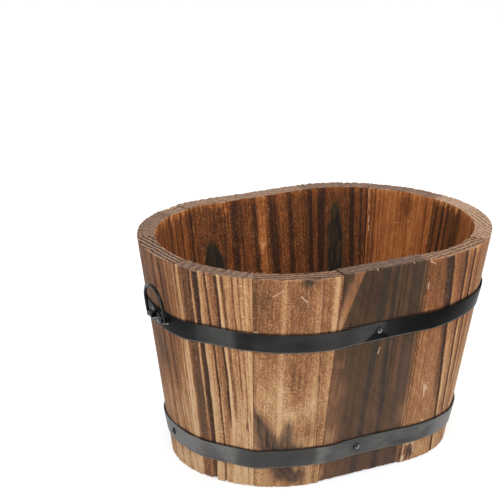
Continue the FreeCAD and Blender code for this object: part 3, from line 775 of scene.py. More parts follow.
def makeStave(name, start, look, seed):
    half = look["width"] / 2 - tub["seamGap"] / 2
    middle = start + look["width"] / 2
    us = edgeSteps(2 * half, staveMake["columnStep"]) - half
    ws = edgeSteps(levelThickness, staveMake["depthStep"])
    zs = edgeSteps(tub["height"], staveMake["rowStep"])
    for strip in hoopLines.values():
        reach = staveMake["hoopReach"]
        closeRows = np.arange(-reach, reach + 0.1, staveMake["hoopRowStep"])
        zs = np.union1d(zs, strip["top"] + closeRows)
    outside, quads = boardSkin((len(us), len(ws), len(zs)))
    block = np.stack(np.meshgrid(us, ws, zs, indexing="ij"), -1)[outside]

    # round the edges, keeping the direction in which each point faces
    lowest = np.array([-half, 0.0, 0.0])
    highest = np.array([half, levelThickness, tub["height"]])
    edge = staveMake["edgeRound"]
    core = np.clip(block, lowest + edge, highest - edge)
    facing = block - core
    facing /= np.linalg.norm(facing, axis=1, keepdims=True)
    point = core + edge * facing
    across, inward, up = point.T
    fall = (tub["height"] - up) / tub["height"]

    # figure of the face that shows and of the other one
    seenInner = look["seen"] == "inner"
    dark, soot, groove = bandField(across, fall, up, look, look["bands"], seed)
    patchDark, patchSoot = patchField(across, up, look["patches"], look["flames"], seed)
    dark += patchDark
    soot += patchSoot + look["soot"]
    backDark, backSoot, backGroove = bandField(across, fall, up, look, strayBands(half, seed + 7), seed + 500)
    backSoot += patchField(across, up, [], look["backFlames"], seed + 700)[1]
    innerShare = smooth((inward / levelThickness - 0.35) / 0.3)
    # the outside is darker towards the rim, a painted shade, and redder
    highShare = smooth((up - 40) / 190) * (1 - innerShare)
    seenShare = innerShare if seenInner else 1 - innerShare
    tone = look["backTone"] + backDark + (look["tone"] + dark - look["backTone"] - backDark) * seenShare
    tone += look["topShade"] * (2 * highShare - 1) * (1 - innerShare)
    char = backSoot * (1 - seenShare) + soot * seenShare
    hollow = backGroove * (1 - seenShare) + groove * seenShare

    # growth rings on the sawn ends are straight in plan
    x, y, outX, outY = rimSpot(np.array([middle]))
    flat = wallSpot(middle + across, inward, up)
    alongChord = (flat[:, 0] - x) * -outY + (flat[:, 1] - y) * outX
    intoBoard = -((flat[:, 0] - x) * outX + (flat[:, 1] - y) * outY) - tub["flare"] * fall
    turn = math.radians(look["ringTurn"])
    ring = (math.cos(turn) * alongChord + math.sin(turn) * intoBoard) / look["ringGap"]
    ring = ring + 0.25 * noiseSheet(alongChord, intoBoard, 30, 12, seed + 600) + 0.37 * seed
    part = ring - np.floor(ring)
    line = smooth((part - 0.35) / 0.5) * smooth((1 - part) / 0.16)
    line *= 0.75 + 0.25 * noiseLine(ring, 1.0, seed + 601)
    endShare = smooth(np.abs(facing[:, 2]) * 1.6 - 0.45)
    endTone = look["rimTone"] + 0.12 * noiseSheet(alongChord, intoBoard, 2.5, 2.5, seed + 602)
    tone = tone * (1 - endShare) + endTone * endShare
    char = char * (1 - endShare) + staveMake["endSoot"] * char * endShare
    # painted shade: the side faces in the seams between staves are darker and greyer
    sideShare = smooth(np.abs(facing[:, 0]) * 4 - 3) * (1 - endShare)
    tone = tone + staveMake["seamShade"] * sideShare
    char = char * (1 - sideShare) + staveMake["seamShadeSoot"] * sideShare

    # painted shadow on the wood above the hoops, in the gap where the strip stands off the wall, and bare
    # wood where the inside meets the rim
    for strip in hoopLines.values():
        overHoop = up - strip["top"] - handSet(strip["lift"], middle + across)
        shadow = np.exp(-(((overHoop - 0.2) / strip["gapShadowReach"]) ** 2)) * (1 - innerShare)
        tone = tone + staveMake["gapShadowDark"] * shadow
        char = np.maximum(char, strip["gapShadow"] * shadow)
    tipLow = tub["height"] - staveMake["tipReach"] - 5 * noiseLine(across, 2.6, seed + 608)
    tips = smooth((up - tipLow) / 8) * innerShare * (1 - endShare)
    tone = tone - look["tips"] * tips
    char = char * (1 - 0.5 * tips)

    # the brushed surface lies a little inside the full board
    rough = noiseSheet(across, up, 1.5, 30, seed + 603)
    faceLow = 0.12 + 0.1 * rough + staveMake["groove"] * hollow
    endLow = look["ringDeep"] * line + 0.15 + 0.12 * noiseSheet(alongChord, intoBoard, 2.0, 2.0, seed + 604)
    low = faceLow * (1 - endShare) + endLow * endShare
    low = low * (1 - sideShare) + 0.05 * sideShare
    point = point - facing * low[:, None]
    across, inward, up = point.T

    # rim and foot: uneven height, notches where the dark rings run out, chips
    notch = look["notch"] * hollow
    notch = notch + 0.3 * noiseLine(across, 2.2, seed + 605) + 0.3 * noiseLine(across, 9, seed + 606)
    lost = look["drop"] + np.clip(notch, -0.3, 2.4) + 0.3 + chipField(across, inward, look, seed)
    footLost = look["footRise"] + np.clip(0.4 + 1.4 * notch, 0, 3.0)
    nearRim = smooth((up - tub["height"]) / staveMake["unevenReach"] + 1)
    nearFoot = smooth(1 - up / staveMake["unevenReach"])
    up = up - np.maximum(lost, 0) * nearRim + footLost * nearFoot
    shallow = look["inset"] * nearRim * (1 - inward / levelThickness)
    spot = wallSpot(middle + across, inward + shallow, up) * mm

    # edges paler: soot rubbed off, and painted highlight where the edges catch the light, most along the
    # outer arris of the rim
    edgeShare = smooth(1.15 - np.max(np.abs(facing), axis=1)) * 3.0
    wornAndHighlit = np.clip(edgeShare, 0, 1) * (0.5 + 0.5 * noiseLine(across + up, 6, seed + 607))
    wornAndHighlit = wornAndHighlit * (1 - sideShare)
    belowRim = np.maximum(tub["height"] - look["drop"] - 0.6 - up, 0)
    arris = np.exp(-((belowRim / staveMake["arrisReach"]) ** 2)) * (1 - innerShare) * (1 - endShare)
    wornAndHighlit = np.maximum(wornAndHighlit, look["arris"] * arris * smooth(0.6 + 0.8 * noiseLine(across, 5, seed + 609)))
    tone = tone - staveMake["edgePaleAndHighlight"] * wornAndHighlit
    char = char * (1 - staveMake["rubbedClean"] * wornAndHighlit)

    mesh = bpy.data.meshes.new(name)
    mesh.from_pydata(spot, [], quads)
    mesh.polygons.foreach_set("use_smooth", np.ones(len(quads), bool))
    outerWarm = look["warm"] + look["topWarm"] * highShare
    warm = (innerShare + outerWarm * (1 - innerShare)) * (1 - endShare)
    layAcross, layUp = layPlace(seed - staveMake["firstSeed"], across, up, look["sawSkew"])
    fuzz = np.full_like(across, look["fuzz"])
    saw = np.full_like(across, look["saw"])
    writeAttribute(mesh, "figure", np.stack([np.clip(tone, 0, 1.25), np.clip(char, 0, 1), fuzz], -1))
    writeAttribute(mesh, "dress", np.stack([warm, endShare * look["sawn"], saw], -1))
    writeAttribute(mesh, "rings", np.stack([ring, look["ringDark"] * endShare, endShare], -1))
    writeAttribute(mesh, "lay", np.stack([layAcross, inward * mm, layUp], -1))
    return mesh


def makeStaves():
    share = rimPerimeter / sum(look["width"] for look in staveLooks.values())
    seam = tub["firstSeam"]
    for number, (name, changes) in enumerate(staveLooks.items()):
        look = {**plainStave, **changes}
        look["width"] = look["width"] * share
        mesh = makeStave("scorched_" + name, seam, look, staveMake["firstSeed"] + number)
        stave = showMesh("scorched_" + name, mesh, scorchedWood)
        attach(stave, "tub")
        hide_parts(name)
        seam += look["width"]


makeStaves()
print("staves made")


# Floor boards: eased copies of the sawn boards
floorBoard = {"ease": 0.9, "segments": 3}


def makeFloorWood():
    material, tree, shader = newMaterial("floor_wood")
    place = addNode(tree, "ShaderNodeTexCoord").outputs["Object"]
    streak = stretchedNoise(tree, place, (9, 260, 260), 4.0, 0.6, 0.4)
    fibre = stretchedNoise(tree, place, (40, 1400, 1400), 3.0, 0.6)
    blotch = stretchedNoise(tree, place, (14, 30, 30), 2.0, 0.5)
    level = plus(tree, times(tree, streak, 0.75), times(tree, fibre, 0.3))
    level = plus(tree, level, spread(tree, blotch, 0.35))
    colour = ramp(tree, level, [
        (0.3, paint(196, 142, 92)), (0.5, paint(158, 104, 62)), (0.62, paint(118, 74, 44)),
        (0.75, paint(62, 44, 33)),
    ])
    tree.links.new(colour, shader.inputs["Base Color"])
    tree.links.new(scaled(tree, fibre, 0.25, 0.55), shader.inputs["Roughness"])
    shader.inputs["Specular IOR Level"].default_value = 0.3
    bumpFrom(tree, shader, plus(tree, fibre, streak), 0.5, 0.6 * mm)
    return material


def easedCopy(node, name, material, ease, segments, smoothTo=0):
    # a copy of a plain solid with its edges eased, and its round faces shaded smooth up to an angle
    shape = bmesh.new()
    shape.from_mesh(nodes[node].data)
    bmesh.ops.remove_doubles(shape, verts=shape.verts, dist=1e-6)
    bmesh.ops.dissolve_limit(shape, angle_limit=math.radians(1), verts=shape.verts, edges=shape.edges)
    mesh = bpy.data.meshes.new(name)
    shape.to_mesh(mesh)
    shape.free()
    piece = showMesh(name, mesh, material)
    bevel = piece.modifiers.new("eased", "BEVEL")
    bevel.width = ease * mm
    bevel.segments = segments
    bevel.limit_method = "ANGLE"
    bevel.angle_limit = math.radians(40)
    piece.data = finishedMesh(piece, bevel, name)
    if smoothTo:
        piece.data.shade_smooth()
        piece.data.set_sharp_from_angle(angle=math.radians(smoothTo))
    return piece


floorWood = makeFloorWood()
for board in ("floor_board_front", "floor_board_middle", "floor_board_back"):
    boardPiece = easedCopy(board, "eased_" + board, floorWood, **floorBoard)
    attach(boardPiece, "tub")
    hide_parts(board)
print("floor boards made")


def finishSteel(tree, shader, colour, pit, cloud):
    # dust in the pits of the paint
    dust = times(tree, above(tree, pit, 0.68, 4.0), 0.3)
    tree.links.new(mixColour(tree, dust, colour, paint(96, 92, 88)), shader.inputs["Base Color"])
    bumpFrom(tree, shader, plus(tree, pit, cloud), 0.3, 0.3 * mm)


# Black steel of the handles and screws, pale where the mesh says so and at one level of the plates: bare
# steel, and painted glints and highlights
def makeBlackSteel(name, deep, worn, shine, smoothest, roughest, highlightLevel=None):
    material, tree, shader = newMaterial(name)
    place = addNode(tree, "ShaderNodeTexCoord").outputs["Object"]
    cloud = stretchedNoise(tree, place, (15, 15, 40), 4.0, 0.6)
    pit = stretchedNoise(tree, place, (1300, 1300, 1300), 2.0, 0.6)
    scuff = stretchedNoise(tree, place, (60, 60, 1100), 3.0, 0.65, 0.6)
    level = plus(tree, times(tree, cloud, 0.65), times(tree, scuff, 0.35))
    colour = ramp(tree, level, [(0.32, deep), (0.68, worn)])
    wornAndHighlit = times(tree, readAttribute(tree, "bareAndHighlight", "Fac"), readAttribute(tree, "drivenAndGlint", "Fac"))
    # a painted highlight along one level of a plate, where its lower edge would catch the light
    if highlightLevel is not None:
        edge = near(tree, vectorParts(tree, place)[2], highlightLevel * mm, 0.7 * mm)
        wornAndHighlit = calc(tree, "MAXIMUM", edge, wornAndHighlit)
    bareAndHighlight = times(tree, wornAndHighlit, scaled(tree, scuff, 0.8, 0.3), True)
    colour = mixColour(tree, bareAndHighlight, colour, paint(196, 192, 184))
    finishSteel(tree, shader, colour, pit, cloud)
    tree.links.new(scaled(tree, level, roughest - smoothest, smoothest), shader.inputs["Roughness"])
    shader.inputs["Specular IOR Level"].default_value = shine
    return material


# Painted strip of the hoops: the mesh carries its wear with painted sheen, the place across it and how far
# the screw is
def makeHoopSteel():
    material, tree, shader = newMaterial("hoop_steel")
    place = addNode(tree, "ShaderNodeTexCoord").outputs["Object"]
    wearAndSheen, across, toScrew = vectorParts(tree, readAttribute(tree, "band"))
    cloud = stretchedNoise(tree, place, (22, 22, 45), 4.0, 0.6)
    scuff = stretchedNoise(tree, place, (60, 60, 1100), 3.0, 0.65, 0.6)
    pit = stretchedNoise(tree, place, (1300, 1300, 1300), 2.0, 0.6)
    # painted shade: a dark fan below the screw, where the strip is drawn in and creased
    fan = minus(tree, 2.0, times(tree, across, 2.9))
    creaseShade = minus(tree, fan, calc(tree, "ABSOLUTE", toScrew, 0.0))
    creaseShade = times(tree, creaseShade, 2.5, True)
    shade = plus(tree, wearAndSheen, spread(tree, cloud, 0.32))
    shade = plus(tree, shade, spread(tree, scuff, 0.12))
    shade = minus(tree, shade, times(tree, creaseShade, 0.5), True)
    colour = ramp(tree, shade, [
        (0.0, paint(6, 6, 6)), (0.5, paint(42, 42, 42)), (0.86, paint(86, 86, 85)),
        (1.0, paint(132, 131, 129)),
    ])
    # a pale line in places along the lower edge: painted highlight where the rounded edge catches the light,
    # and bare steel where the paint is rubbed
    bareAndHighlight = times(tree, near(tree, across, 0.02, 0.03), times(tree, scuff, 1.1), True)
    colour = mixColour(tree, bareAndHighlight, colour, paint(138, 132, 124))
    finishSteel(tree, shader, colour, pit, cloud)
    tree.links.new(scaled(tree, cloud, 0.3, 0.22), shader.inputs["Roughness"])
    shader.inputs["Specular IOR Level"].default_value = 0.03
    return material


blackSteels = {
    "handle_steel": {
        "deep": paint(4, 4, 4), "worn": paint(10, 10, 10), "shine": 0.22, "smoothest": 0.05, "roughest": 0.14,
    },
    "plate_steel": {
        "deep": paint(10, 10, 10), "worn": paint(30, 29, 28), "shine": 0.4, "smoothest": 0.12,
        "roughest": 0.3, "highlightLevel": 175.2,
    },
    "screw_steel": {
        "deep": paint(6, 6, 6), "worn": paint(16, 16, 15), "shine": 0.35, "smoothest": 0.1, "roughest": 0.25,
    },
}
hoopSteel = makeHoopSteel()
handleSteel, plateSteel, screwSteel = [makeBlackSteel(name, **looks) for name, looks in blackSteels.items()]
print("steels made")


def newTree(name, inputs):
    tree = bpy.data.node_groups.new(name, "GeometryNodeTree")
    tree.interface.new_socket("Geometry", in_out="INPUT", socket_type="NodeSocketGeometry")
    for label, kind in inputs.items():
        tree.interface.new_socket(label, in_out="INPUT", socket_type=kind)
    tree.interface.new_socket("Geometry", in_out="OUTPUT", socket_type="NodeSocketGeometry")
    start = addNode(tree, "NodeGroupInput")
    end = addNode(tree, "NodeGroupOutput")
    return tree, start, end


def endTree(tree, start, end, made):
    # every tree ends in a plain mesh with its steel on
    whole = addNode(tree, "GeometryNodeRealizeInstances")
    tree.links.new(made, whole.inputs["Geometry"])
    finish = addNode(tree, "GeometryNodeSetMaterial")
    tree.links.new(whole.outputs["Geometry"], finish.inputs["Geometry"])
    tree.links.new(start.outputs["Steel"], finish.inputs["Material"])
    tree.links.new(finish.outputs["Geometry"], end.inputs["Geometry"])
    return tree


def sweepTree(tree, start, end, section):
    # carries a section along the path that the tree is given
    sweep = addNode(tree, "GeometryNodeCurveToMesh", {"Fill Caps": True})
    tree.links.new(start.outputs["Geometry"], sweep.inputs["Curve"])
    tree.links.new(section, sweep.inputs["Profile Curve"])
    return endTree(tree, start, end, sweep.outputs[0])


def useTree(piece, tree, values):
    modifier = piece.modifiers.new("shape", "NODES")
    modifier.node_group = tree
    for item in tree.interface.items_tree:
        if item.in_out == "INPUT" and item.name in values:
            modifier[item.identifier] = values[item.name]
    return modifier


# Hoops: a rounded strip carried along its path round the wall
def makeStripTree():
    inputs = {
        "Strip width": "NodeSocketFloat", "Strip thickness": "NodeSocketFloat",
        "Edge radius": "NodeSocketFloat", "Lean": "NodeSocketFloat", "Steel": "NodeSocketMaterial",
    }
    tree, start, end = newTree("hoop_strip", inputs)
    link = tree.links.new
    section = addNode(tree, "GeometryNodeCurvePrimitiveQuadrilateral")
    link(start.outputs["Strip thickness"], section.inputs["Width"])
    link(start.outputs["Strip width"], section.inputs["Height"])
    fillet = addNode(tree, "GeometryNodeFilletCurve", {"Count": 3}, mode="POLY")
    link(section.outputs[0], fillet.inputs["Curve"])
    link(start.outputs["Edge radius"], fillet.inputs["Radius"])
    lean = addNode(tree, "GeometryNodeTransform")
    angle = addNode(tree, "ShaderNodeCombineXYZ")
    link(start.outputs["Lean"], angle.inputs["Z"])
    link(fillet.outputs[0], lean.inputs["Geometry"])
    link(angle.outputs[0], lean.inputs["Rotation"])
    return sweepTree(tree, start, end, lean.outputs[0])


def hoopPath(line, fastened):
    # the middle of the strip, a little slack and gaping below between the places where it is held
    first = frontMiddle + line["screwX"] - rimPerimeter / 2 - hoop["lap"] / 2
    last = first + rimPerimeter - hoop["endGap"]
    places = np.arange(first, last + hoop["endGap"] + hoop["lap"] + 0.01, hoop["pathStep"])
    step = hoop["thickness"] + hoop["lapPlay"]
    out = hoop["seat"] + hoop["thickness"] / 2 + step * smooth((places - last + hoop["jog"]) / hoop["jog"])
    slack = np.ones_like(places)
    for held, reach in fastened:
        away = np.abs(np.mod(places - held + rimPerimeter / 2, rimPerimeter) - rimPerimeter / 2)
        slack *= smooth((away - reach) / hoop["slackRun"])
    wave = 0.5 + 0.5 * noiseLine(places, 41, int(line["top"]))
    gape = np.radians(hoop["gape"]) * slack * (0.7 + 0.3 * wave)
    out = out + hoop["bulge"] * wave * slack + hoop["width"] / 2 * np.sin(gape)
    middle = line["top"] - hoopRise / 2 + handSet(line["lift"], places)
    spots = wallSpot(places, -out * math.cos(slant), middle)
    spots[:, 2] = middle - out * math.sin(slant)
    return spots * mm, gape


def curveThrough(name, spots, tilts=None):
    curve = bpy.data.curves.new(name, "CURVE")
    curve.dimensions = "3D"
    curve.twist_mode = "Z_UP"
    line = curve.splines.new("POLY")
    line.points.add(len(spots) - 1)
    line.points.foreach_set("co", np.c_[spots, np.ones(len(spots))].astype(np.float32).ravel())
    if tilts is not None:
        line.points.foreach_set("tilt", tilts.astype(np.float32))
    return linkObject(name, curve)


def tidyMesh(mesh, material):
    shape = bmesh.new()
    shape.from_mesh(mesh)
    bmesh.ops.remove_doubles(shape, verts=shape.verts, dist=1e-7)
    bmesh.ops.recalc_face_normals(shape, faces=shape.faces)
    shape.to_mesh(mesh)
    shape.free()
    mesh.materials.clear()
    mesh.materials.append(material)
    mesh.shade_smooth()
    mesh.set_sharp_from_angle(angle=math.radians(50))


stripTree = makeStripTree()


def makeHoop(node, fastened):
    line = hoopLines[node]
    spots, gape = hoopPath(line, fastened)
    path = curveThrough(node + "_path", spots, gape)
    values = {
        "Strip width": hoop["width"] * mm, "Strip thickness": hoop["thickness"] * mm,
        "Edge radius": hoop["edge"] * mm, "Lean": slant, "Steel": hoopSteel,
    }
    mesh = finishedMesh(path, useTree(path, stripTree, values), "rolled_" + node)
    bpy.data.objects.remove(path)
    tidyMesh(mesh, hoopSteel)
    x, y, up = np.array([vert.co for vert in mesh.vertices]).T / mm
    place = rimPlace(x, y)
    across = (up - line["top"] - handSet(line["lift"], place)) / hoopRise + 1
    toScrew = np.clip((place - frontMiddle - line["screwX"]) / hoop["fanReach"], -5, 5)
    if node == "lower_hoop":
        toScrew = np.full_like(place, 5)  # this one lies flat at its screw
    writeAttribute(mesh, "band", np.stack([handSet(line["wearAndSheen"], place), across, toScrew], -1))
    strip = showMesh("rolled_" + node, mesh, hoopSteel)
    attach(strip, "tub")
    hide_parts(node)


frontScrew = {node: frontMiddle + line["screwX"] for node, line in hoopLines.items()}
backScrew = {node: place - rimPerimeter / 2 for node, place in frontScrew.items()}
leftScrew = leftEnd - hoop["endScrew"]
rightScrew = leftScrew + rimPerimeter / 2
endHolds = {
    "upper_hoop": [(leftEnd, hoop["plateHold"]), (0.0, hoop["plateHold"])],
    "lower_hoop": [(leftScrew, hoop["screwHold"]), (rightScrew, hoop["screwHold"])],
}
for hoopNode, holds in endHolds.items():
    sideHolds = [(frontScrew[hoopNode], hoop["screwHold"]), (backScrew[hoopNode], hoop["lapHold"])]
    makeHoop(hoopNode, holds + sideHolds)
print("hoops made")

# Screws: one pan head with a cross recess, set at every fastening
screw = {
    "shank": 2.0, "length": 16.0, "tip": 5.0, "head": 3.9, "headHeight": 2.4, "headEdge": 1.0, "crown": 2.4,
    "recessLength": 4.6, "recessWidth": 1.2, "recessDepth": 1.3, "blackLand": 0.8,
    "plateDrop": 6.7, "plateFace": 2.8, "turnSeed": 4,
}


def makeScrewShape():
    profile = [
        (0, -screw["length"]), (screw["shank"], screw["tip"] - screw["length"]), (screw["shank"], 0),
        (screw["head"] - 0.15, 0), (screw["head"], 0.15), (screw["head"], screw["headEdge"] - 0.1),
        (screw["head"] - 0.12, screw["headEdge"] + 0.25), (screw["crown"] + 0.45, screw["headHeight"] - 0.32),
        (screw["crown"] - 0.2, screw["headHeight"] - 0.06), (0, screw["headHeight"]),
    ]
    shape = bmesh.new()
    line = [shape.verts.new((radius, 0, up)) for radius, up in profile]
    edges = [shape.edges.new(pair) for pair in zip(line, line[1:])]
    spin = {"geom": line + edges, "cent": (0, 0, 0), "axis": (0, 0, 1), "angle": math.tau, "steps": 40}
    bmesh.ops.spin(shape, use_merge=True, **spin)
    bmesh.ops.remove_doubles(shape, verts=shape.verts, dist=1e-5)
    bmesh.ops.recalc_face_normals(shape, faces=shape.faces)
    mesh = bpy.data.meshes.new("screw_blank")
    shape.to_mesh(mesh)
    shape.free()

    # the driver's cross, narrower at its floor
    shape = bmesh.new()
    for turned in (False, True):
        made = bmesh.ops.create_cube(shape, size=1.0)["verts"]
        for vert in made:
            low = vert.co.z < 0
            taper = 0.7 if low else 1.0
            long = screw["recessLength"] * (0.6 if low else 1.0)
            vert.co = Vector((vert.co.x * long, vert.co.y * screw["recessWidth"] * taper, vert.co.z))
            vert.co.z = screw["headHeight"] - (screw["recessDepth"] if low else -1.0)
            if turned:
                vert.co = Vector((-vert.co.y, vert.co.x, vert.co.z))
    cross = bpy.data.meshes.new("driver_cross")
    shape.to_mesh(cross)
    shape.free()
    blank = linkObject("screw_blank", mesh)
    cutter = linkObject("driver_cross", cross)
    cut = blank.modifiers.new("recess", "BOOLEAN")
    cut.operation = "DIFFERENCE"
    cut.solver = "EXACT"
    cut.use_self = True
    cut.object = cutter
    finished = finishedMesh(blank, cut, "pan_head_screw")
    bpy.data.objects.remove(cutter)
    blank.data = finished
    # the driver has bared the steel round the cross; the pale side, turned away from the black land, is also
    # a painted glint
    spots = np.array([vert.co for vert in finished.vertices])
    onCrown = np.hypot(spots[:, 0], spots[:, 1]) < screw["crown"] + 0.3
    onCrown = onCrown & (spots[:, 2] > screw["headHeight"] - 0.5)
    turned = np.cos(np.arctan2(spots[:, 1], spots[:, 0]) - screw["blackLand"])
    bareAndHighlight = onCrown * np.clip(1 - 1.1 * np.maximum(turned, 0), 0, 1)
    writeAttribute(finished, "bareAndHighlight", bareAndHighlight)
    finished.transform(Matrix.Scale(mm, 4))
    return blank


def makeScrewTree():
    inputs = {"Screw": "NodeSocketObject", "Turn seed": "NodeSocketInt", "Steel": "NodeSocketMaterial"}
    tree, start, end = newTree("set_screws", inputs)
    link = tree.links.new
    source = addNode(tree, "GeometryNodeObjectInfo", transform_space="ORIGINAL")
    link(start.outputs["Screw"], source.inputs["Object"])
    facing = addNode(tree, "GeometryNodeInputNamedAttribute", {"Name": "facing"}, data_type="FLOAT_VECTOR")
    stand = addNode(tree, "FunctionNodeAlignRotationToVector", axis="Z")
    link(facing.outputs["Attribute"], stand.inputs["Vector"])
    turns = {0: (0, 0, 0), 1: (0, 0, math.pi / 2)}
    turn = addNode(tree, "FunctionNodeRandomValue", turns, data_type="FLOAT_VECTOR")
    link(start.outputs["Turn seed"], turn.inputs["Seed"])
    both = addNode(tree, "FunctionNodeRotateRotation", rotation_space="LOCAL")
    link(stand.outputs["Rotation"], both.inputs["Rotation"])
    link(turn.outputs["Value"], both.inputs["Rotate By"])
    place = addNode(tree, "GeometryNodeInstanceOnPoints")
    link(start.outputs["Geometry"], place.inputs["Points"])
    link(source.outputs["Geometry"], place.inputs["Instance"])
    link(both.outputs["Rotation"], place.inputs["Rotation"])
    return endTree(tree, start, end, place.outputs["Instances"])


def wallOut(place, up, out):
    # a point standing off the wall, and the direction out of the wall there
    outX, outY = (value.item() for value in rimSpot(np.array([place]))[2:])
    facing = Vector((outX * math.cos(slant), outY * math.cos(slant), -math.sin(slant)))
    base = Vector(wallSpot(np.array([place]), 0.0, np.array([up]))[0])
    return (base + facing * out) * mm, facing


def makeScrews():
    level = {node: line["top"] - hoopRise / 2 + hoop["screwRise"] for node, line in hoopLines.items()}
    face = hoop["seat"] + hoop["thickness"]
    lapFace = face + hoop["lapPlay"] + hoop["thickness"]
    plateMiddle = hoopLines["upper_hoop"]["top"] - screw["plateDrop"]
    fastenings = [
        (leftEnd, plateMiddle, screw["plateFace"]), (0.0, plateMiddle, screw["plateFace"]),
        (leftScrew, level["lower_hoop"], face), (rightScrew, level["lower_hoop"], face),
    ]
    for node in hoopLines:
        fastenings.append((frontScrew[node], level[node], face))
        fastenings.append((backScrew[node], level[node], lapFace))
    spots = [wallOut(*fastening) for fastening in fastenings]
    mesh = bpy.data.meshes.new("screw_spots")
    mesh.from_pydata([spot for spot, facing in spots], [], [])
    writeAttribute(mesh, "facing", [facing for spot, facing in spots])
    drivenAndGlint = np.ones(len(spots))
    drivenAndGlint[:2] = 0.0  # no painted glint and no bare steel on the screws of the plates
    drivenAndGlint[2:4] = 0.3  # and little of either on those at the ends
    writeAttribute(mesh, "drivenAndGlint", drivenAndGlint)
    holder = linkObject("screw_spots", mesh)
    shape = makeScrewShape()
    values = {"Screw": shape, "Turn seed": screw["turnSeed"], "Steel": screwSteel}
    finished = finishedMesh(holder, useTree(holder, makeScrewTree(), values), "pan_head_screws")
    bpy.data.objects.remove(holder)
    bpy.data.objects.remove(shape)
    tidyMesh(finished, screwSteel)
    screws = showMesh("pan_head_screws", finished, screwSteel)
    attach(screws, "tub")
    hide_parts("upper_hoop_screws", "lower_hoop_screws", "handle_screws")


makeScrews()
print("screws made")

# Handles: a bent wire in the knuckles of a plate, one at each end
bail = {"standoff": 5.0, "wire": 1.75, "height": 36.0, "bend": 3.0, "tilt": 10.0, "half": 19.0, "foot": 7.5}
handlePlate = {"ease": 0.3, "segments": 2, "smoothTo": 28}


def makeWireTree():
    inputs = {"Wire radius": "NodeSocketFloat", "Steel": "NodeSocketMaterial"}
    tree, start, end = newTree("bent_wire", inputs)
    ring = addNode(tree, "GeometryNodeCurvePrimitiveCircle", {"Resolution": 20}, mode="RADIUS")
    tree.links.new(start.outputs["Wire radius"], ring.inputs["Radius"])
    return sweepTree(tree, start, end, ring.outputs[0])


def arcSpots(centreY, centreZ, radius, fromAngle, toAngle, count):
    angles = np.radians(np.linspace(fromAngle, toAngle, count))
    return [(centreY + radius * math.cos(a), centreZ + radius * math.sin(a)) for a in angles]


def bailPath():
    half = bail["half"]
    bend = bail["bend"]
    route = [(-bail["foot"], 0.0)]
    route += arcSpots(bend - half, bend, bend, 270, 180, 9)
    route += arcSpots(0.0, bail["height"] - half, half, 180, 0, 41)
    route += arcSpots(half - bend, bend, bend, 0, -90, 9)
    route.append((bail["foot"], 0.0))
    return np.array([(0.0, y, z) for y, z in route])


wireTree = makeWireTree()


def makeBail(body, end):
    upperMiddle = hoopLines["upper_hoop"]["top"] - screw["plateDrop"]
    face = hoop["seat"] + hoop["thickness"]
    hinge = wallOut(end, upperMiddle, face + bail["standoff"])[0]
    turn = Matrix.Rotation(math.pi if end == 0.0 else 0.0, 4, "Z")
    tilt = Matrix.Rotation(math.radians(-bail["tilt"]), 4, "Y")
    place = Matrix.Translation(hinge) @ turn @ tilt @ Matrix.Scale(mm, 4)
    path = curveThrough(body + "_path", bailPath())
    path.data.twist_mode = "MINIMUM"
    values = {"Wire radius": bail["wire"], "Steel": handleSteel}
    mesh = finishedMesh(path, useTree(path, wireTree, values), "bent_" + body)
    bpy.data.objects.remove(path)
    tidyMesh(mesh, handleSteel)
    mesh.transform(place)
    wire = showMesh("bent_" + body, mesh, handleSteel)
    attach(wire, body)
    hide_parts(body)


makeBail("left_bail", leftEnd)
makeBail("right_bail", 0.0)
for plate in ("left_handle_plate", "right_handle_plate"):
    platePiece = easedCopy(plate, "eased_" + plate, plateSteel, **handlePlate)
    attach(platePiece, "tub")
    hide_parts(plate)
print("handles made")

# Floor, light and camera
studio = {"floorHalf": 4.0, "floorGlow": 0.62, "floorColour": 0.62, "worldStrength": 0.55}
lamps = {
    "key": {"spot": (-1.5, -1.9, 1.9), "aim": (0, 0, 0.12), "size": 1.6, "power": 34.0},
    "fill": {"spot": (1.7, -1.2, 1.0), "aim": (0, 0, 0.12), "size": 1.5, "power": 9.0},
    "top": {"spot": (0.2, 0.5, 2.2), "aim": (0, 0, 0.12), "size": 1.5, "power": 8.0},
    "left_glint": {"spot": (-2.0, -0.9, 0.3), "aim": (-0.2, 0, 0.19), "size": 0.2, "power": 1.5},
    "right_glint": {"spot": (0.9, -2.3, 0.35), "aim": (-0.2, 0, 0.19), "size": 0.2, "power": 1.5},
}


def litForCamera(tree):
    # 1 for what the camera sees straight, mirrored or through glass
    path = addNode(tree, "ShaderNodeLightPath")
    seen = calc(tree, "MAXIMUM", path.outputs["Is Camera Ray"], path.outputs["Is Glossy Ray"])
    return calc(tree, "MAXIMUM", seen, path.outputs["Is Transmission Ray"])


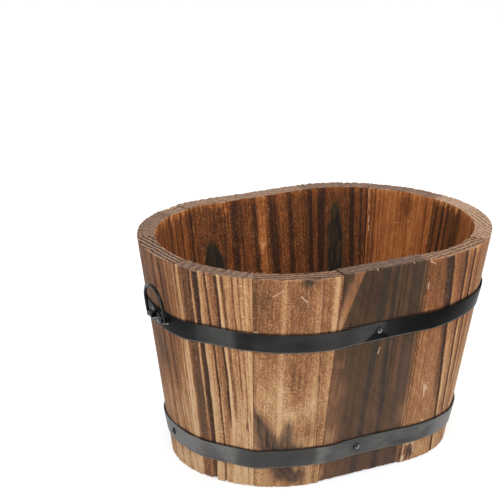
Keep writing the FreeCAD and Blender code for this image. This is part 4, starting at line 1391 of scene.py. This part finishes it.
def makeStudio():
    half = studio["floorHalf"]
    mesh = bpy.data.meshes.new("studio_floor")
    corners = [(-half, -half, 0), (half, -half, 0), (half, half, 0), (-half, half, 0)]
    mesh.from_pydata(corners, [], [(0, 1, 2, 3)])
    material, tree, shader = newMaterial("pale_floor")
    tree.nodes.remove(shader)
    output = tree.nodes["Material Output"]
    matt = addNode(tree, "ShaderNodeBsdfDiffuse", {"Color": grey(studio["floorColour"])})
    glow = addNode(tree, "ShaderNodeEmission", {"Color": grey(1.0)})
    tree.links.new(times(tree, litForCamera(tree), studio["floorGlow"]), glow.inputs["Strength"])
    both = addNode(tree, "ShaderNodeAddShader")
    tree.links.new(matt.outputs[0], both.inputs[0])
    tree.links.new(glow.outputs[0], both.inputs[1])
    tree.links.new(both.outputs[0], output.inputs["Surface"])
    floor = showMesh("studio_floor", mesh, material)

    world = bpy.data.worlds.new("studio")
    bpy.context.scene.world = world
    world.use_nodes = True
    tree = world.node_tree
    back = tree.nodes["Background"]
    back.inputs["Color"].default_value = grey(1.0)
    seen = litForCamera(tree)
    extra = times(tree, seen, 1.0 - studio["worldStrength"])
    tree.links.new(plus(tree, extra, studio["worldStrength"]), back.inputs["Strength"])


def areaLight(name, spot, aim, size, power):
    light = bpy.data.lights.new(name, "AREA")
    light.shape = "DISK"
    light.size = size
    light.energy = power
    lamp = linkObject(name, light)
    lamp.location = spot
    lamp.rotation_euler = (Vector(aim) - Vector(spot)).to_track_quat("-Z", "Y").to_euler()


# The view of the photograph: the tub's middle lands on one pixel of a 500 pixel frame
shot = {
    "azimuth": -31.11, "elevation": 18.42, "roll": 1.17, "distance": 1.98156,
    "focalPixels": 1774.7, "framePixels": 500.0, "middlePixel": (313.28, 332.6), "sensor": 36.0,
}


def makeCamera():
    azimuth = math.radians(shot["azimuth"])
    elevation = math.radians(shot["elevation"])
    roll = math.radians(shot["roll"])
    level = math.cos(elevation)
    back = Vector((math.sin(azimuth) * level, -math.cos(azimuth) * level, math.sin(elevation)))
    flatRight = Vector((math.cos(azimuth), math.sin(azimuth), 0))
    flatUp = back.cross(flatRight)
    right = flatRight * math.cos(roll) + flatUp * math.sin(roll)
    upright = flatUp * math.cos(roll) - flatRight * math.sin(roll)
    perPixel = shot["distance"] / shot["focalPixels"]
    aside = (shot["middlePixel"][0] - shot["framePixels"] / 2) * perPixel
    below = (shot["middlePixel"][1] - shot["framePixels"] / 2) * perPixel
    middle = Vector((0, 0, tub["height"] * mm / 2))
    data = bpy.data.cameras.new("photo_view")
    data.sensor_width = shot["sensor"]
    data.lens = shot["focalPixels"] * shot["sensor"] / shot["framePixels"]
    data.clip_start = 0.05
    data.clip_end = 50
    camera = linkObject("photo_view", data)
    turn = Matrix((right, upright, back)).transposed().to_4x4()
    eye = middle + back * shot["distance"] - right * aside + upright * below
    camera.matrix_world = Matrix.Translation(eye) @ turn
    bpy.context.scene.camera = camera


makeStudio()
for lampName, lampValues in lamps.items():
    areaLight(lampName, **lampValues)
makeCamera()
bpy.context.scene.view_settings.view_transform = "Standard"
print("studio made")
